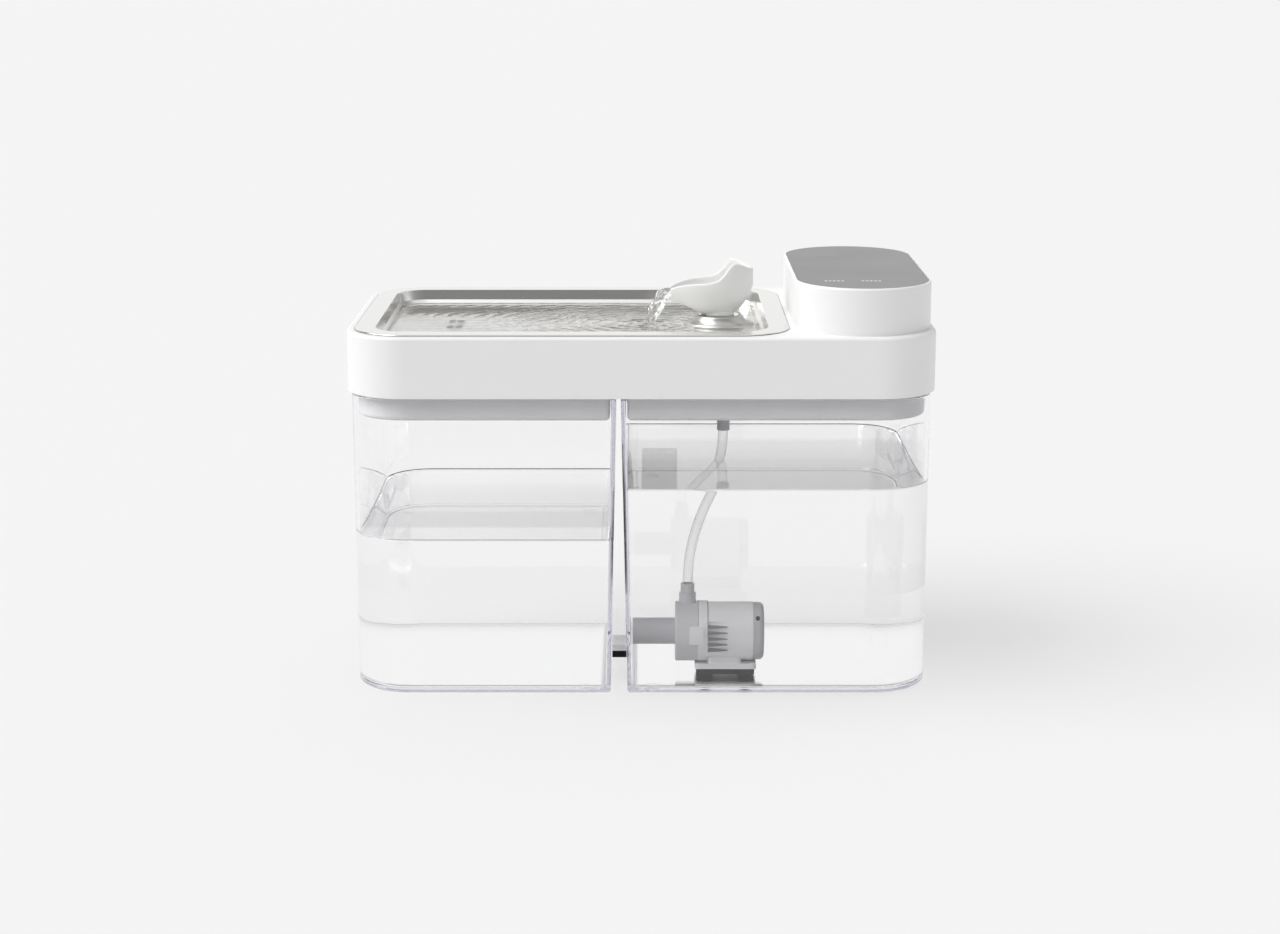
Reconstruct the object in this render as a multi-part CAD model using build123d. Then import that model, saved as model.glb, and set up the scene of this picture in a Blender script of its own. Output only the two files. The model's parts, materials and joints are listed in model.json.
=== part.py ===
from build123d import *
import os
from math import pi, radians, tan

os.makedirs("parts", exist_ok=True)

# Pet water fountain. Millimetres. X runs to the right along the long side, Y runs to the back,
# Z runs up. The origin is the middle of the footprint, on the surface that the tanks stand on.

# ---------------------------------------------------------------- overall
body_width = 340.0
body_depth = 190.0
corner_radius = 35.0

# ---------------------------------------------------------------- tanks
foot_height = 1.2
foot_diameter = 9.0
foot_inset = 15.0
tank_height = 174.6
tank_wall = 2.5
tank_floor = 2.5
tank_inset = 2.2
gap_x = -13.0
gap_at_top = 2.4
gap_at_bottom = 9.6
facing_corner = 6.5
bottom_edge = 6.0
rim_round = 0.6

# ---------------------------------------------------------------- deck
rim_seal = 1.0
seal_inset = 0.2
deck_height = 35.1
deck_wall = 2.5
deck_plate = 2.5
deck_edge = 2.0
base_plate_thickness = 2.5
base_clearance = 0.3
collar_drop = 13.8
collar_clearance = 1.0
collar_wall = 2.0
collar_edge = 2.4
tub_depth = 16.9
tub_wall = 2.0
tub_clearance = 1.0

# ---------------------------------------------------------------- screws
screw_radius = 1.5
screw_head_radius = 2.75
screw_head_height = 2.4
screw_length = 12.0
screw_clearance = 0.1
pilot_clearance = 0.05
post_radius = 4.0
collar_post_radius = 4.6
post_bridge = 3.4
end_screw_inset = 25.0
end_screw_margin = 24.0
mid_screw_margin = 18.0
left_mid_screw = 22.0
right_mid_screw = 49.0

# ---------------------------------------------------------------- tray
tray_end_margin = 4.55
tray_side_margin = 4.6
tray_pod_gap = 3.05
tray_sheet = 0.8
rim_width = 12.0
rim_corner = 30.0
basin_depth = 13.0
basin_taper = 2.5
basin_edge = 3.5
drain_inset = 53.45
drain_row = 10.0
drain_pitch = 5.0
drain_radius = 1.75

# ---------------------------------------------------------------- boss and riser
boss_inset = 38.85
boss_base_radius = 19.0
boss_neck_radius = 12.0
boss_height = 10.3
boss_hole_radius = 7.6
riser_radius = 5.0
riser_bore = 3.2
riser_fit = 0.05
chimney_wall = 2.2
chimney_height = 8.0
sleeve_wall = 2.2
sleeve_drop = 5.5
sleeve_rise = 7.2
sleeve_flange_radius = 8.6
sleeve_flange = 0.8

# ---------------------------------------------------------------- bird spout
spout_clearance = 0.3
spout_wall = 1.7
spout_base_radius = 9.4
spout_floor = 1.5

# ---------------------------------------------------------------- filter
filter_length = 76.0
filter_width = 60.0
filter_corner = 6.0
filter_wall = 1.6
filter_clearance = 0.6
filter_flange = 4.0
filter_lid_thickness = 1.4
filter_lift = 1.0
pad_thickness = 7.0
slot_width = 3.0
slot_pitch = 8.0
frame_slot_share = 0.7
lid_slot_share = 0.6
pad_clearance = 0.3

# ---------------------------------------------------------------- pod
pod_end_margin = 4.0
pod_width = 79.0
pod_inset = 2.5
pod_height = 27.1
pod_wall = 2.5
pod_plate = 2.6
pod_edge = 1.4
panel_margin = 1.4
panel_thickness = 1.5
panel_fit = 0.15
panel_edge = 0.4
board_gap = 3.2
board_thickness = 1.6
board_margin = 5.0
board_post_gap = 1.0
board_post_y = 42.0
board_post_x = 26.0
key_y = (-62.0, -40.0)
key_pad_radius = 4.5
inlet_width = 9.0
inlet_height = 3.3
inlet_depth = 8.0
inlet_level = 10.0
inlet_shell = 0.4
inlet_fit = 0.1
tongue_recess = 2.0
tongue_gap = 1.5
tongue_thickness = 0.7
inlet_board_margin = 4.0
inlet_board_gap = 1.0
inlet_board_foot = 3.0
pod_screw_x = 27.0
pod_screw_y = 62.0
wire_hole_radius = 6.0

# ---------------------------------------------------------------- hose and its fitting
hose_radius = 3.0
hose_bore = 2.0
hose_seat = 8.0
hose_fit = 0.05
fitting_offset = 3.3
fitting_radius = 3.85
fitting_drop = 24.0
fitting_chamber_radius = 11.0
fitting_chamber_height = 8.0
fitting_wall = 1.5

# ---------------------------------------------------------------- level sensor
sensor_offset = 24.8
sensor_y = 70.0
sensor_width = 22.6
sensor_depth = 16.0
sensor_drop = 28.0
sensor_wall = 1.6
sensor_lens_radius = 4.0
sensor_lens_flange = 1.0
sensor_corner = 2.0

# ---------------------------------------------------------------- pump
pump_y = -45.0
pump_axis_level = 28.7
pump_radius = 18.1
pump_offset = 33.1
volute_length = 13.4
ring_length = 5.9
ring_proud = 0.35
housing_length = 26.8
cap_length = 6.5
cap_dome = 3.0
pump_wall = 2.0
pump_edge = 1.0
stub_radius = 8.0
stub_wall = 1.5
stub_length = 25.3
nozzle_radius = 4.05
nozzle_offset = 7.3
nozzle_height = 29.4
nozzle_base_radius = 5.0
nozzle_base_height = 23.8
nozzle_bore = 2.0
chamber_radius = 13.0
well_radius = 8.0
well_wall = 1.0
well_length = 22.0
magnet_radius = 7.6
magnet_length = 15.0
shaft_radius = 1.0
shaft_fit = 0.05
shaft_recess = 0.5
shaft_end_gap = 0.2
bush_radius = 2.6
bush_length = 3.0
bush_wall = 1.0
bush_fit = 0.02
spider_width = 2.0
impeller_radius = 11.5
impeller_gap = 1.5
impeller_disc = 1.6
hub_radius = 3.2
hub_length = 3.0
impeller_vane_height = 4.0
impeller_vane_thickness = 1.2
impeller_vanes = 6
o_ring_section = 1.0
o_ring_inset = 2.4
core_leg = 5.0
core_depth = 12.0
core_bar_depth = 8.0
core_gap = 1.2
core_leg_gap = 0.4
core_shell_gap = 0.6
coil_wall = 4.0
coil_side = 0.8
coil_fit = 0.1
groove_count = 5
groove_pitch_deg = 13.0
groove_length = 12.0
groove_depth = 1.1
groove_half_width = 1.1
latch_width = 8.4
latch_height = 10.6
latch_thickness = 1.4
latch_offset = 0.9
latch_rise = 1.0
gland_radius = 2.6
gland_length = 6.0
gland_bore = 0.9
plug_radius = 1.3
plug_length = 6.0
plug_recess = 0.2
plug_x = 2.65
plug_y = 13.2
plug_z = 10.6
cradle_length = 36.2
cradle_width = 26.0
cradle_thickness = 3.0
cradle_corner = 2.0
saddle_length = 19.6
saddle_rise = 6.6
saddle_inset = 2.0
saddle_offset = 0.1
saddle_step = 0.6
saddle_fit = 0.1
cup_radius = 5.3
cup_height = 4.1
cup_inset = 0.8

# ---------------------------------------------------------------- link between the tanks
link_y = -60.0
link_length = 20.0
link_level = 20.0
link_thickness = 3.6
link_pad_thickness = 4.0
link_clearance = 0.3

# ---------------------------------------------------------------- levels and places worked out
tank_bottom = foot_height
tank_top = tank_bottom + tank_height
floor_level = tank_bottom + tank_floor
tank_x = body_width / 2 - tank_inset
tank_y = body_depth / 2 - tank_inset
tank_corner = corner_radius - tank_inset
deck_bottom = tank_top + rim_seal
deck_top = deck_bottom + deck_height
base_top = deck_bottom + base_plate_thickness
tub_floor_level = deck_top - tub_depth
collar_bottom = deck_bottom - collar_drop
collar_floor = collar_bottom + collar_wall
rim_top = deck_top + tray_sheet
basin_floor = rim_top - basin_depth
boss_top = basin_floor + boss_height
pod_length = body_depth - 2 * pod_end_margin
pod_x = body_width / 2 - pod_inset - pod_width / 2
pod_top = deck_top + pod_height
tray_left = tray_end_margin - body_width / 2
tray_right = pod_x - pod_width / 2 - tray_pod_gap
tray_width = body_depth - 2 * tray_side_margin
drain_x = tray_left + drain_inset
boss_x = tray_right - boss_inset
chimney_top = tub_floor_level + chimney_height
panel_bottom = pod_top - panel_thickness
pod_ceiling = panel_bottom - pod_plate
board_top = pod_ceiling - board_gap
sleeve_inner = riser_radius + riser_fit
sleeve_outer = sleeve_inner + sleeve_wall
sleeve_bottom = boss_top - sleeve_drop
sleeve_top = boss_top + sleeve_rise
riser_top = boss_top - 1.0
spout_bottom = boss_top + spout_clearance
spout_bore_top = sleeve_top + spout_clearance
fitting_x = boss_x + fitting_offset
fitting_bottom = collar_bottom - fitting_drop
sensor_x = gap_x + sensor_offset
volute_left = gap_x + pump_offset
volute_right = volute_left + volute_length
housing_right = volute_right + ring_length + housing_length
cap_right = housing_right + cap_length
nozzle_x = volute_left + nozzle_offset
nozzle_top = pump_axis_level + nozzle_height
cradle_bottom = floor_level + cup_height
cradle_x = (volute_right + housing_right) / 2 + saddle_offset
filter_bottom = collar_floor + filter_lift
cut_margin = 1.0


# ---------------------------------------------------------------- helpers
def rounded_plan(x_low, x_high, y_half, radius_low, radius_high):
    """Rectangle in plan whose two corners at x_low and two at x_high have their own radii."""
    plan = Pos((x_low + x_high) / 2, 0) * Rectangle(x_high - x_low, 2 * y_half)
    plan = fillet(plan.vertices().sort_by(Axis.X)[:2], radius_low)
    return fillet(plan.vertices().sort_by(Axis.X)[-2:], radius_high)


def slab(plan, low, high):
    """Plan extruded straight up from one level to another."""
    return extrude(Pos(0, 0, low) * plan, amount=high - low, dir=(0, 0, 1))


def disc(x, y, radius, low, high):
    """Upright cylinder between two levels."""
    return Pos(x, y, (low + high) / 2) * Cylinder(radius, high - low)


def ring(x, y, outer, inner, low, high):
    """Upright tube between two levels."""
    return disc(x, y, outer, low, high) - disc(x, y, inner, low - cut_margin, high + cut_margin)


def along_pump(radius, left, right):
    """Cylinder on the pump's axis, from one X to another."""
    middle = Pos((left + right) / 2, pump_y, pump_axis_level)
    return middle * Rot(0, 90, 0) * Cylinder(radius, right - left)


def block(x, y, low, length, width, height, corner=0.0):
    """Box that stands on a level, with its upright edges rounded."""
    plan = Pos(x, y) * (RectangleRounded(length, width, corner) if corner else Rectangle(length, width))
    return slab(plan, low, low + height)


def screw(x, y, seat, head_radius=screw_head_radius, length=screw_length):
    """Upright screw whose head lies under its seat and whose shank goes up from it."""
    head = disc(x, y, head_radius, seat - screw_head_height, seat)
    return head + disc(x, y, screw_radius, seat, seat + length)


def save(name, *solids):
    """Writes one node; several solids go into one compound."""
    node = solids[0] if len(solids) == 1 else Compound(children=[Part(item.wrapped) for item in solids])
    export_step(node, os.path.join("parts", name + ".step"))


# ---------------------------------------------------------------- tanks
def gap_at(level):
    """Width of the wedge between the tanks at a level."""
    return gap_at_bottom + (gap_at_top - gap_at_bottom) * (level - tank_bottom) / tank_height


def tank_plan(side, level, inset):
    """Tank outline at a level, drawn in by inset; side is -1 on the left and 1 on the right."""
    facing = gap_x + side * (gap_at(level) / 2 + inset)
    outer = side * (tank_x - inset)
    radii = (tank_corner - inset, max(facing_corner - inset, 0.5))
    low, high = sorted((facing, outer))
    if side > 0:
        radii = radii[::-1]
    return rounded_plan(low, high, tank_y - inset, *radii)


def tank_loft(side, low, high, inset):
    """Solid between the outlines at two levels, with the facing wall leaning."""
    plans = [Pos(0, 0, level) * tank_plan(side, level, inset) for level in (low, high)]
    return loft([plan.face() for plan in plans], ruled=True)


def tank(side):
    """Open clear tank with a rounded bottom edge."""
    shell = tank_loft(side, tank_bottom, tank_top, 0)
    shell = fillet(shell.edges().group_by(Axis.Z)[0], bottom_edge)
    hollow = tank_loft(side, floor_level, tank_top + cut_margin, tank_wall)
    hollow = fillet(hollow.edges().group_by(Axis.Z)[0], bottom_edge - tank_wall)
    shell = shell - hollow
    return fillet(shell.edges().group_by(Axis.Z)[-1], rim_round)


def tank_feet(side):
    """Four pads under the tank's corners."""
    outer = side * (tank_x - foot_inset)
    facing = gap_x + side * (gap_at_bottom / 2 + foot_inset)
    places = [(x, y) for x in (outer, facing) for y in (foot_inset - tank_y, tank_y - foot_inset)]
    return [disc(x, y, foot_diameter / 2, 0, tank_bottom) for x, y in places]


def rim_gasket(side):
    """Flat seal between the tank's rim and the deck."""
    inner_inset = tank_wall + collar_clearance - seal_inset
    band = tank_plan(side, tank_top, seal_inset) - tank_plan(side, tank_top, inner_inset)
    return slab(band, tank_top, deck_bottom)


def gap_wedge(low, high, clearance):
    """Block that fills the wedge between the tanks, seated on the right tank."""
    def section(level):
        left = gap_x - gap_at(level) / 2 + clearance
        right = gap_x + gap_at(level) / 2
        return Pos((left + right) / 2, link_y, level) * Rectangle(right - left, link_length)
    return loft([section(low).face(), section(high).face()], ruled=True)


# ---------------------------------------------------------------- deck
def deck_plan(inset):
    """Deck outline, drawn in by inset."""
    return rounded_plan(inset - body_width / 2, body_width / 2 - inset, body_depth / 2 - inset,
                        corner_radius - inset, corner_radius - inset)


def basin_plan(inset):
    """Tray outline, drawn in by inset from the edge of its rim."""
    return rounded_plan(tray_left + inset, tray_right - inset, tray_width / 2 - inset,
                        rim_corner - inset, rim_corner - inset)


def screw_places(side):
    """Where the deck screws stand under one collar, as (x, y)."""
    outer_x = side * (body_width / 2 - end_screw_inset)
    mid_x = gap_x + (right_mid_screw if side > 0 else -left_mid_screw)
    outer_y = body_depth / 2 - end_screw_margin
    mid_y = body_depth / 2 - mid_screw_margin
    return [(x, sign * y) for x, y in ((outer_x, outer_y), (mid_x, mid_y)) for sign in (-1, 1)]


def filter_plan(grow):
    """Outline of the filter cassette, made larger by grow."""
    return Pos(drain_x, 0) * RectangleRounded(filter_length + 2 * grow, filter_width + 2 * grow,
                                              filter_corner + grow)


def deck_shell():
    """White housing: skirt, top plate, tub under the tray, chimney and screw posts."""
    shell = slab(deck_plan(0), deck_bottom, deck_top)
    shell = fillet(shell.edges().group_by(Axis.Z)[-1], deck_edge)
    shell -= slab(deck_plan(deck_wall), deck_bottom - cut_margin, deck_top - deck_plate)
    tub_inset = rim_width - tray_sheet - tub_clearance
    shell += slab(basin_plan(tub_inset - tub_wall), tub_floor_level - tub_wall, deck_top - deck_plate)
    for side in (-1, 1):
        for x, y in screw_places(side):
            top = deck_top - deck_plate if x > tray_right else tub_floor_level - tub_wall
            shell += disc(x, y, post_radius, base_top, top)
    shell -= slab(basin_plan(tub_inset), tub_floor_level, deck_top + cut_margin)
    riser_hole = riser_radius + screw_clearance
    shell += disc(boss_x, 0, riser_hole + chimney_wall, tub_floor_level - tub_wall, chimney_top)
    shell -= disc(boss_x, 0, riser_hole, base_top, chimney_top + cut_margin)
    shell -= slab(filter_plan(filter_clearance), base_top, tub_floor_level + cut_margin)
    plate_low, plate_high = deck_top - deck_plate - cut_margin, deck_top + cut_margin
    shell -= disc(pod_x, 0, wire_hole_radius, plate_low, plate_high)
    for x, y in pod_screw_places():
        shell -= disc(x, y, screw_radius + screw_clearance, plate_low, plate_high)
    pilot_top = collar_screw_seat() + screw_length + cut_margin
    for side in (-1, 1):
        for x, y in screw_places(side):
            shell -= disc(x, y, screw_radius + pilot_clearance, base_top - cut_margin, pilot_top)
    return shell


def collar_screw_seat():
    """Level of the shoulder that the deck screws' heads press against."""
    return deck_bottom - post_bridge


def base_plate():
    """Plate that closes the deck from below and carries both collars."""
    plate = slab(deck_plan(deck_wall + base_clearance), deck_bottom, base_top)
    low, high = deck_bottom - cut_margin, base_top + cut_margin
    plate -= slab(filter_plan(filter_clearance), low, high)
    plate -= disc(boss_x, 0, riser_radius + screw_clearance, low, high)
    plate -= disc(pod_x, 0, wire_hole_radius, low, high)
    for side in (-1, 1):
        for x, y in screw_places(side):
            plate -= disc(x, y, screw_radius + screw_clearance, low, high)
    return plate


def collar(side):
    """Cup that plugs into a tank and hangs from the base plate, with counterbored screw posts."""
    inset = tank_wall + collar_clearance
    cup = slab(tank_plan(side, collar_bottom, inset), collar_bottom, deck_bottom)
    cup = fillet(cup.edges().group_by(Axis.Z)[0], collar_edge)
    cup -= slab(tank_plan(side, collar_bottom, inset + collar_wall), collar_floor, deck_bottom + cut_margin)
    for x, y in screw_places(side):
        cup += disc(x, y, collar_post_radius, collar_bottom + collar_wall / 2, deck_bottom)
        cup -= disc(x, y, screw_head_radius + screw_clearance, collar_bottom - cut_margin, collar_screw_seat())
        cup -= disc(x, y, screw_radius + screw_clearance, collar_bottom, deck_bottom + cut_margin)
    low, high = collar_bottom - cut_margin, collar_floor + cut_margin
    if side < 0:
        return cup - slot_row(filter_length - 4 * filter_wall, filter_width / 2, low, high)
    return cup - disc(fitting_x, 0, fitting_radius + screw_clearance, low, high)


def slot_row(length, width, low, high):
    """Row of slots across the drain, centred on it and cut between two levels."""
    count = int((length - slot_width) // slot_pitch) + 1
    first = drain_x - slot_pitch * (count - 1) / 2
    slots = [block(first + slot_pitch * i, 0, low, slot_width, width, high - low) for i in range(count)]
    return Part() + slots


def deck_screws():
    """Screws that hold collar and base plate to the deck's posts."""
    return [screw(x, y, collar_screw_seat()) for side in (-1, 1) for x, y in screw_places(side)]


# ---------------------------------------------------------------- tray
def tray():
    """Pressed steel tray: rolled rim, tapered basin, flared boss and drain holes."""
    sheet = slab(basin_plan(0), deck_top, rim_top)
    sheet = fillet(sheet.edges().group_by(Axis.Z)[-1], tray_sheet * 0.9)
    sheet += basin_form(rim_width - tray_sheet, basin_floor - tray_sheet, basin_edge + tray_sheet, rim_top)
    sheet -= basin_form(rim_width, basin_floor, basin_edge, rim_top + cut_margin)
    sheet = sheet + boss_form(0, 0) - boss_form(tray_sheet, tray_sheet)
    sheet -= disc(boss_x, 0, boss_hole_radius, basin_floor, boss_top + cut_margin)
    low, high = basin_floor - 2 * tray_sheet, basin_floor + cut_margin
    for row in (-drain_row, drain_row):
        for dx in (-drain_pitch / 2, drain_pitch / 2):
            for dy in (-drain_pitch / 2, drain_pitch / 2):
                sheet -= disc(drain_x + dx, row + dy, drain_radius, low, high)
    return sheet


def basin_form(inset, floor, edge, top):
    """Tapered block of the basin: its outline at the rim, smaller at the floor, with a rounded foot."""
    mouth = Pos(0, 0, top) * basin_plan(inset)
    foot = Pos(0, 0, floor) * basin_plan(inset + basin_taper)
    form = loft([foot.face(), mouth.face()], ruled=True)
    return fillet(form.edges().group_by(Axis.Z)[0], edge)


def boss_form(inward, down):
    """Flared boss as a turned solid: a hollow curve from a wide foot to a narrow neck."""
    foot_radius = boss_base_radius - inward
    neck_radius = boss_neck_radius - inward
    foot_level = basin_floor - tray_sheet * (1.5 if inward else 0.5)
    top = boss_top - down
    middle = ((foot_radius + neck_radius) / 2 - 1.9, (basin_floor + top) / 2 - 1.2)
    outline = Polyline((neck_radius, top), (0, top), (0, foot_level), (foot_radius, foot_level),
                       (foot_radius, basin_floor + 0.3))
    flare = ThreePointArc((foot_radius, basin_floor + 0.3), middle, (neck_radius, top))
    section = Plane.XZ * make_face(outline.edges() + flare.edges())
    return Pos(boss_x, 0, 0) * revolve(section, Axis.Z)


# ---------------------------------------------------------------- riser, sleeve and spout
def riser_pipe():
    """Pipe that carries the water from the fitting up into the boss."""
    return ring(boss_x, 0, riser_radius, riser_bore, collar_floor + fitting_chamber_height / 2, riser_top)


def spout_sleeve():
    """Bush on the riser's end that the spout turns on."""
    sleeve = ring(boss_x, 0, sleeve_outer, sleeve_inner, sleeve_bottom, sleeve_top)
    return sleeve + ring(boss_x, 0, sleeve_flange_radius, sleeve_inner, boss_top, boss_top + sleeve_flange)


# Sections of the scoop from tail to beak, each as (x from the boss axis, half width, underside, rim),
# with the two levels measured from the spout's foot.
spout_sections = (
    (-30.6, 5.4, 8.9, 14.6),
    (-24.0, 7.4, 8.3, 15.4),
    (-16.5, 10.8, 5.2, 17.4),
    (-8.0, 13.6, 0.9, 18.7),
    (1.0, 14.2, 0.2, 20.8),
    (7.0, 13.4, 0.6, 27.8),
    (11.5, 11.8, 2.6, 32.2),
    (16.0, 8.6, 6.6, 30.0),
    (19.3, 4.4, 13.0, 27.8),
)


def scoop_section(x, half_width, underside, rim, top):
    """Upright half ellipse across the scoop, carried straight up from its rim to a top."""
    left, right = (-half_width, rim), (half_width, rim)
    bowl = EllipticalCenterArc((0, rim), half_width, rim - underside, start_angle=180, arc_size=180)
    mouth = Polyline(right, (half_width, top), (-half_width, top), left)
    place = Plane(origin=(boss_x + x, 0, spout_bottom), x_dir=(0, 1, 0), z_dir=(1, 0, 0))
    return place * make_face(bowl.edges() + mouth.edges())


def spout():
    """Open scoop in the form of a simple bird that turns on the sleeve and pours from its tail."""
    raised = 0.4
    outer = [scoop_section(x, w, low, rim - raised, rim) for x, w, low, rim in spout_sections]
    form = loft([section.face() for section in outer])
    floor = spout_bore_top + spout_floor - spout_bottom
    inner = []
    for x, w, low, rim in spout_sections:
        depth = max(low + spout_wall, min(floor, low + 0.62 * (rim - low)))
        shift = -2.0 if x < spout_sections[1][0] else (-spout_wall if x > 18 else 0.0)
        inner.append(scoop_section(x + shift, w - spout_wall, depth, rim - raised, rim + 12.0))
    form -= loft([section.face() for section in inner])
    form += disc(boss_x, 0, spout_base_radius, spout_bottom, spout_bore_top + spout_floor)
    form -= disc(boss_x, 0, sleeve_flange_radius + spout_clearance, spout_bottom - cut_margin,
                 boss_top + sleeve_flange + spout_clearance)
    form -= disc(boss_x, 0, sleeve_outer + riser_fit, spout_bottom - cut_margin, spout_bore_top)
    return form - disc(boss_x, 0, riser_bore, spout_bottom, spout_bore_top + 3 * spout_floor)


# ---------------------------------------------------------------- filter
def filter_frame():
    """Basket that hangs by its flange on the tub's floor."""
    frame = slab(filter_plan(0), filter_bottom, tub_floor_level + filter_wall)
    frame += slab(filter_plan(filter_flange), tub_floor_level, tub_floor_level + filter_wall)
    frame -= slab(filter_plan(-filter_wall), filter_bottom + filter_wall, tub_floor_level + 3 * filter_wall)
    return frame - slot_row(filter_length - 4 * filter_wall, filter_width * frame_slot_share,
                            filter_bottom - cut_margin, filter_bottom + filter_wall + cut_margin)


def filter_lid():
    """Slotted lid pressed into the basket's mouth, level with its flange."""
    top = tub_floor_level + filter_wall
    bottom = top - filter_lid_thickness
    lid = slab(filter_plan(-filter_wall - screw_clearance), bottom, top)
    return lid - slot_row(filter_length - 6 * filter_wall, filter_width * lid_slot_share,
                          bottom - cut_margin, top + cut_margin)


def filter_layer(low, high):
    """Loose filling of the basket between two levels."""
    return slab(filter_plan(-filter_wall - pad_clearance), low, high)


# ---------------------------------------------------------------- pod
def pod_plan(inset):
    """Long plan with round ends, drawn in by inset."""
    return Pos(pod_x, 0) * Rot(0, 0, 90) * SlotOverall(pod_length - 2 * inset, pod_width - 2 * inset)


def pod_screw_places():
    """Where the pod is screwed down, as (x, y)."""
    return [(pod_x + sx * pod_screw_x, sy * pod_screw_y) for sx in (-1, 1) for sy in (-1, 1)]


def board_post_places():
    """Where the control board is screwed up, as (x, y)."""
    return [(pod_x + sx * board_post_x, sy * board_post_y) for sx in (-1, 1) for sy in (-1, 1)]


def pod_shell():
    """White cap over the electronics, with a recess for the panel and an opening for the inlet."""
    shell = slab(pod_plan(0), deck_top, pod_top)
    shell = fillet(shell.edges().group_by(Axis.Z)[-1], pod_edge)
    shell -= slab(pod_plan(pod_wall), deck_top - cut_margin, pod_ceiling)
    shell -= slab(pod_plan(panel_margin), panel_bottom, pod_top + cut_margin)
    for x, y in pod_screw_places():
        shell += disc(x, y, post_radius, deck_top, pod_ceiling)
        shell -= disc(x, y, screw_radius + pilot_clearance, deck_top - cut_margin, deck_top + screw_length)
    for x, y in board_post_places():
        shell += disc(x, y, post_radius, board_top, pod_ceiling)
        pilot_top = pod_ceiling + pod_plate / 2
        shell -= disc(x, y, screw_radius + pilot_clearance, board_top - cut_margin, pilot_top)
    low, high = pod_ceiling - cut_margin, panel_bottom + cut_margin
    for y in key_y:
        shell -= disc(pod_x, y, key_pad_radius + screw_clearance, low, high)
    return shell - inlet_form(inlet_fit, pod_wall + cut_margin)


def inlet_form(grow, inward):
    """Rounded block of the power inlet, from inside the pod's back wall outwards."""
    back = pod_length / 2
    end_radius = inlet_height / 2 + grow - 0.01
    profile = RectangleRounded(inlet_width + 2 * grow, inlet_height + 2 * grow, end_radius)
    origin = (pod_x, back - inward, deck_top + inlet_level)
    plane = Plane(origin=origin, x_dir=(1, 0, 0), z_dir=(0, 1, 0))
    return extrude(plane * profile, amount=inward + cut_margin)


def power_inlet():
    """Steel shell of the low-voltage inlet, with a tongue, set just inside the pod's back wall."""
    back = pod_length / 2 - pod_wall / 4
    reach = pod_wall + inlet_depth
    shell = inlet_form(0, reach) - inlet_form(-inlet_shell, reach - inlet_shell)
    trim = 2 * (inlet_width + reach)
    return shell & Pos(pod_x, back - trim / 2, deck_top + inlet_level) * Box(trim, trim, trim)


def inlet_tongue():
    """Contact tongue inside the inlet's shell."""
    back = pod_length / 2
    end = back - pod_wall - inlet_depth + inlet_shell
    length = pod_wall + inlet_depth - tongue_recess
    place = Pos(pod_x, end + length / 2, deck_top + inlet_level)
    return place * Box(inlet_width - 2 * tongue_gap, length, tongue_thickness)


def touch_panel():
    """Grey panel let into the pod's top."""
    panel = slab(pod_plan(panel_margin + panel_fit), panel_bottom, pod_top)
    return fillet(panel.edges().group_by(Axis.Z)[-1], panel_edge)


def control_board():
    """Board under the pod's ceiling, clear of the posts that hold the pod down."""
    board = slab(pod_plan(pod_wall + board_margin), board_top - board_thickness, board_top)
    low, high = board_top - 2 * board_thickness, board_top + cut_margin
    for x, y in board_post_places():
        board -= disc(x, y, screw_radius + screw_clearance, low, high)
    for x, y in pod_screw_places():
        board -= disc(x, y, post_radius + board_post_gap, low, high)
    return board


def key_contacts():
    """Conductive pads between the board and the panel, one under each key."""
    return [disc(pod_x, y, key_pad_radius, board_top, panel_bottom) for y in key_y]


def board_screws():
    """Screws that hold the board up to the pod's posts."""
    length = screw_length / 2
    return [screw(x, y, board_top - board_thickness, length=length) for x, y in board_post_places()]


def pod_screws():
    """Screws that hold the pod to the deck's top plate from below."""
    length = screw_length - 2.0
    return [screw(x, y, deck_top - deck_plate, length=length) for x, y in pod_screw_places()]


def inlet_board():
    """Small board that the inlet is soldered to, standing on the deck's top plate."""
    width = inlet_width + 2 * inlet_board_margin
    under = deck_top + inlet_level - inlet_height / 2
    depth = inlet_depth + 2 * inlet_board_gap
    y = pod_length / 2 - pod_wall - depth / 2 - inlet_board_gap
    board = block(pod_x, y, under - board_thickness, width, depth, board_thickness)
    for sign in (-1, 1):
        foot_x = pod_x + sign * (width / 2 - inlet_board_foot / 2 - pad_clearance)
        board += block(foot_x, y, deck_top, inlet_board_foot, depth, under - board_thickness - deck_top)
    return board


# ---------------------------------------------------------------- hose, fitting and sensor
def hose_fitting():
    """Offset adaptor on the collar's floor: hose socket below, riser socket above."""
    low = collar_floor
    high = collar_floor + fitting_chamber_height
    middle = (low + high) / 2
    x = (boss_x + fitting_x) / 2
    body = disc(x, 0, fitting_chamber_radius, low, high)
    body += disc(fitting_x, 0, fitting_radius, fitting_bottom, low + cut_margin)
    body -= disc(fitting_x, 0, hose_bore, fitting_bottom - cut_margin, low + fitting_wall + cut_margin)
    body -= disc(fitting_x, 0, hose_radius + hose_fit, fitting_bottom - cut_margin, fitting_bottom + hose_seat)
    body -= disc(x, 0, fitting_chamber_radius / 2, low + fitting_wall, middle - fitting_wall / 3)
    body -= disc(boss_x, 0, riser_bore, low + fitting_wall + cut_margin / 2, high)
    return body - disc(boss_x, 0, riser_radius + hose_fit, middle, high + cut_margin)


# The hose's route, as (x, y, z): chosen by hand, straight into both sockets.
hose_route = (
    (49.9, 0.0, 147.0),
    (49.9, 0.0, 134.0),
    (47.9, -7.0, 122.7),
    (43.0, -20.0, 111.0),
    (36.0, -32.5, 99.5),
    (30.3, -41.5, 84.5),
    (27.4, -45.0, 67.0),
    (27.4, -45.0, 50.4),
)


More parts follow.
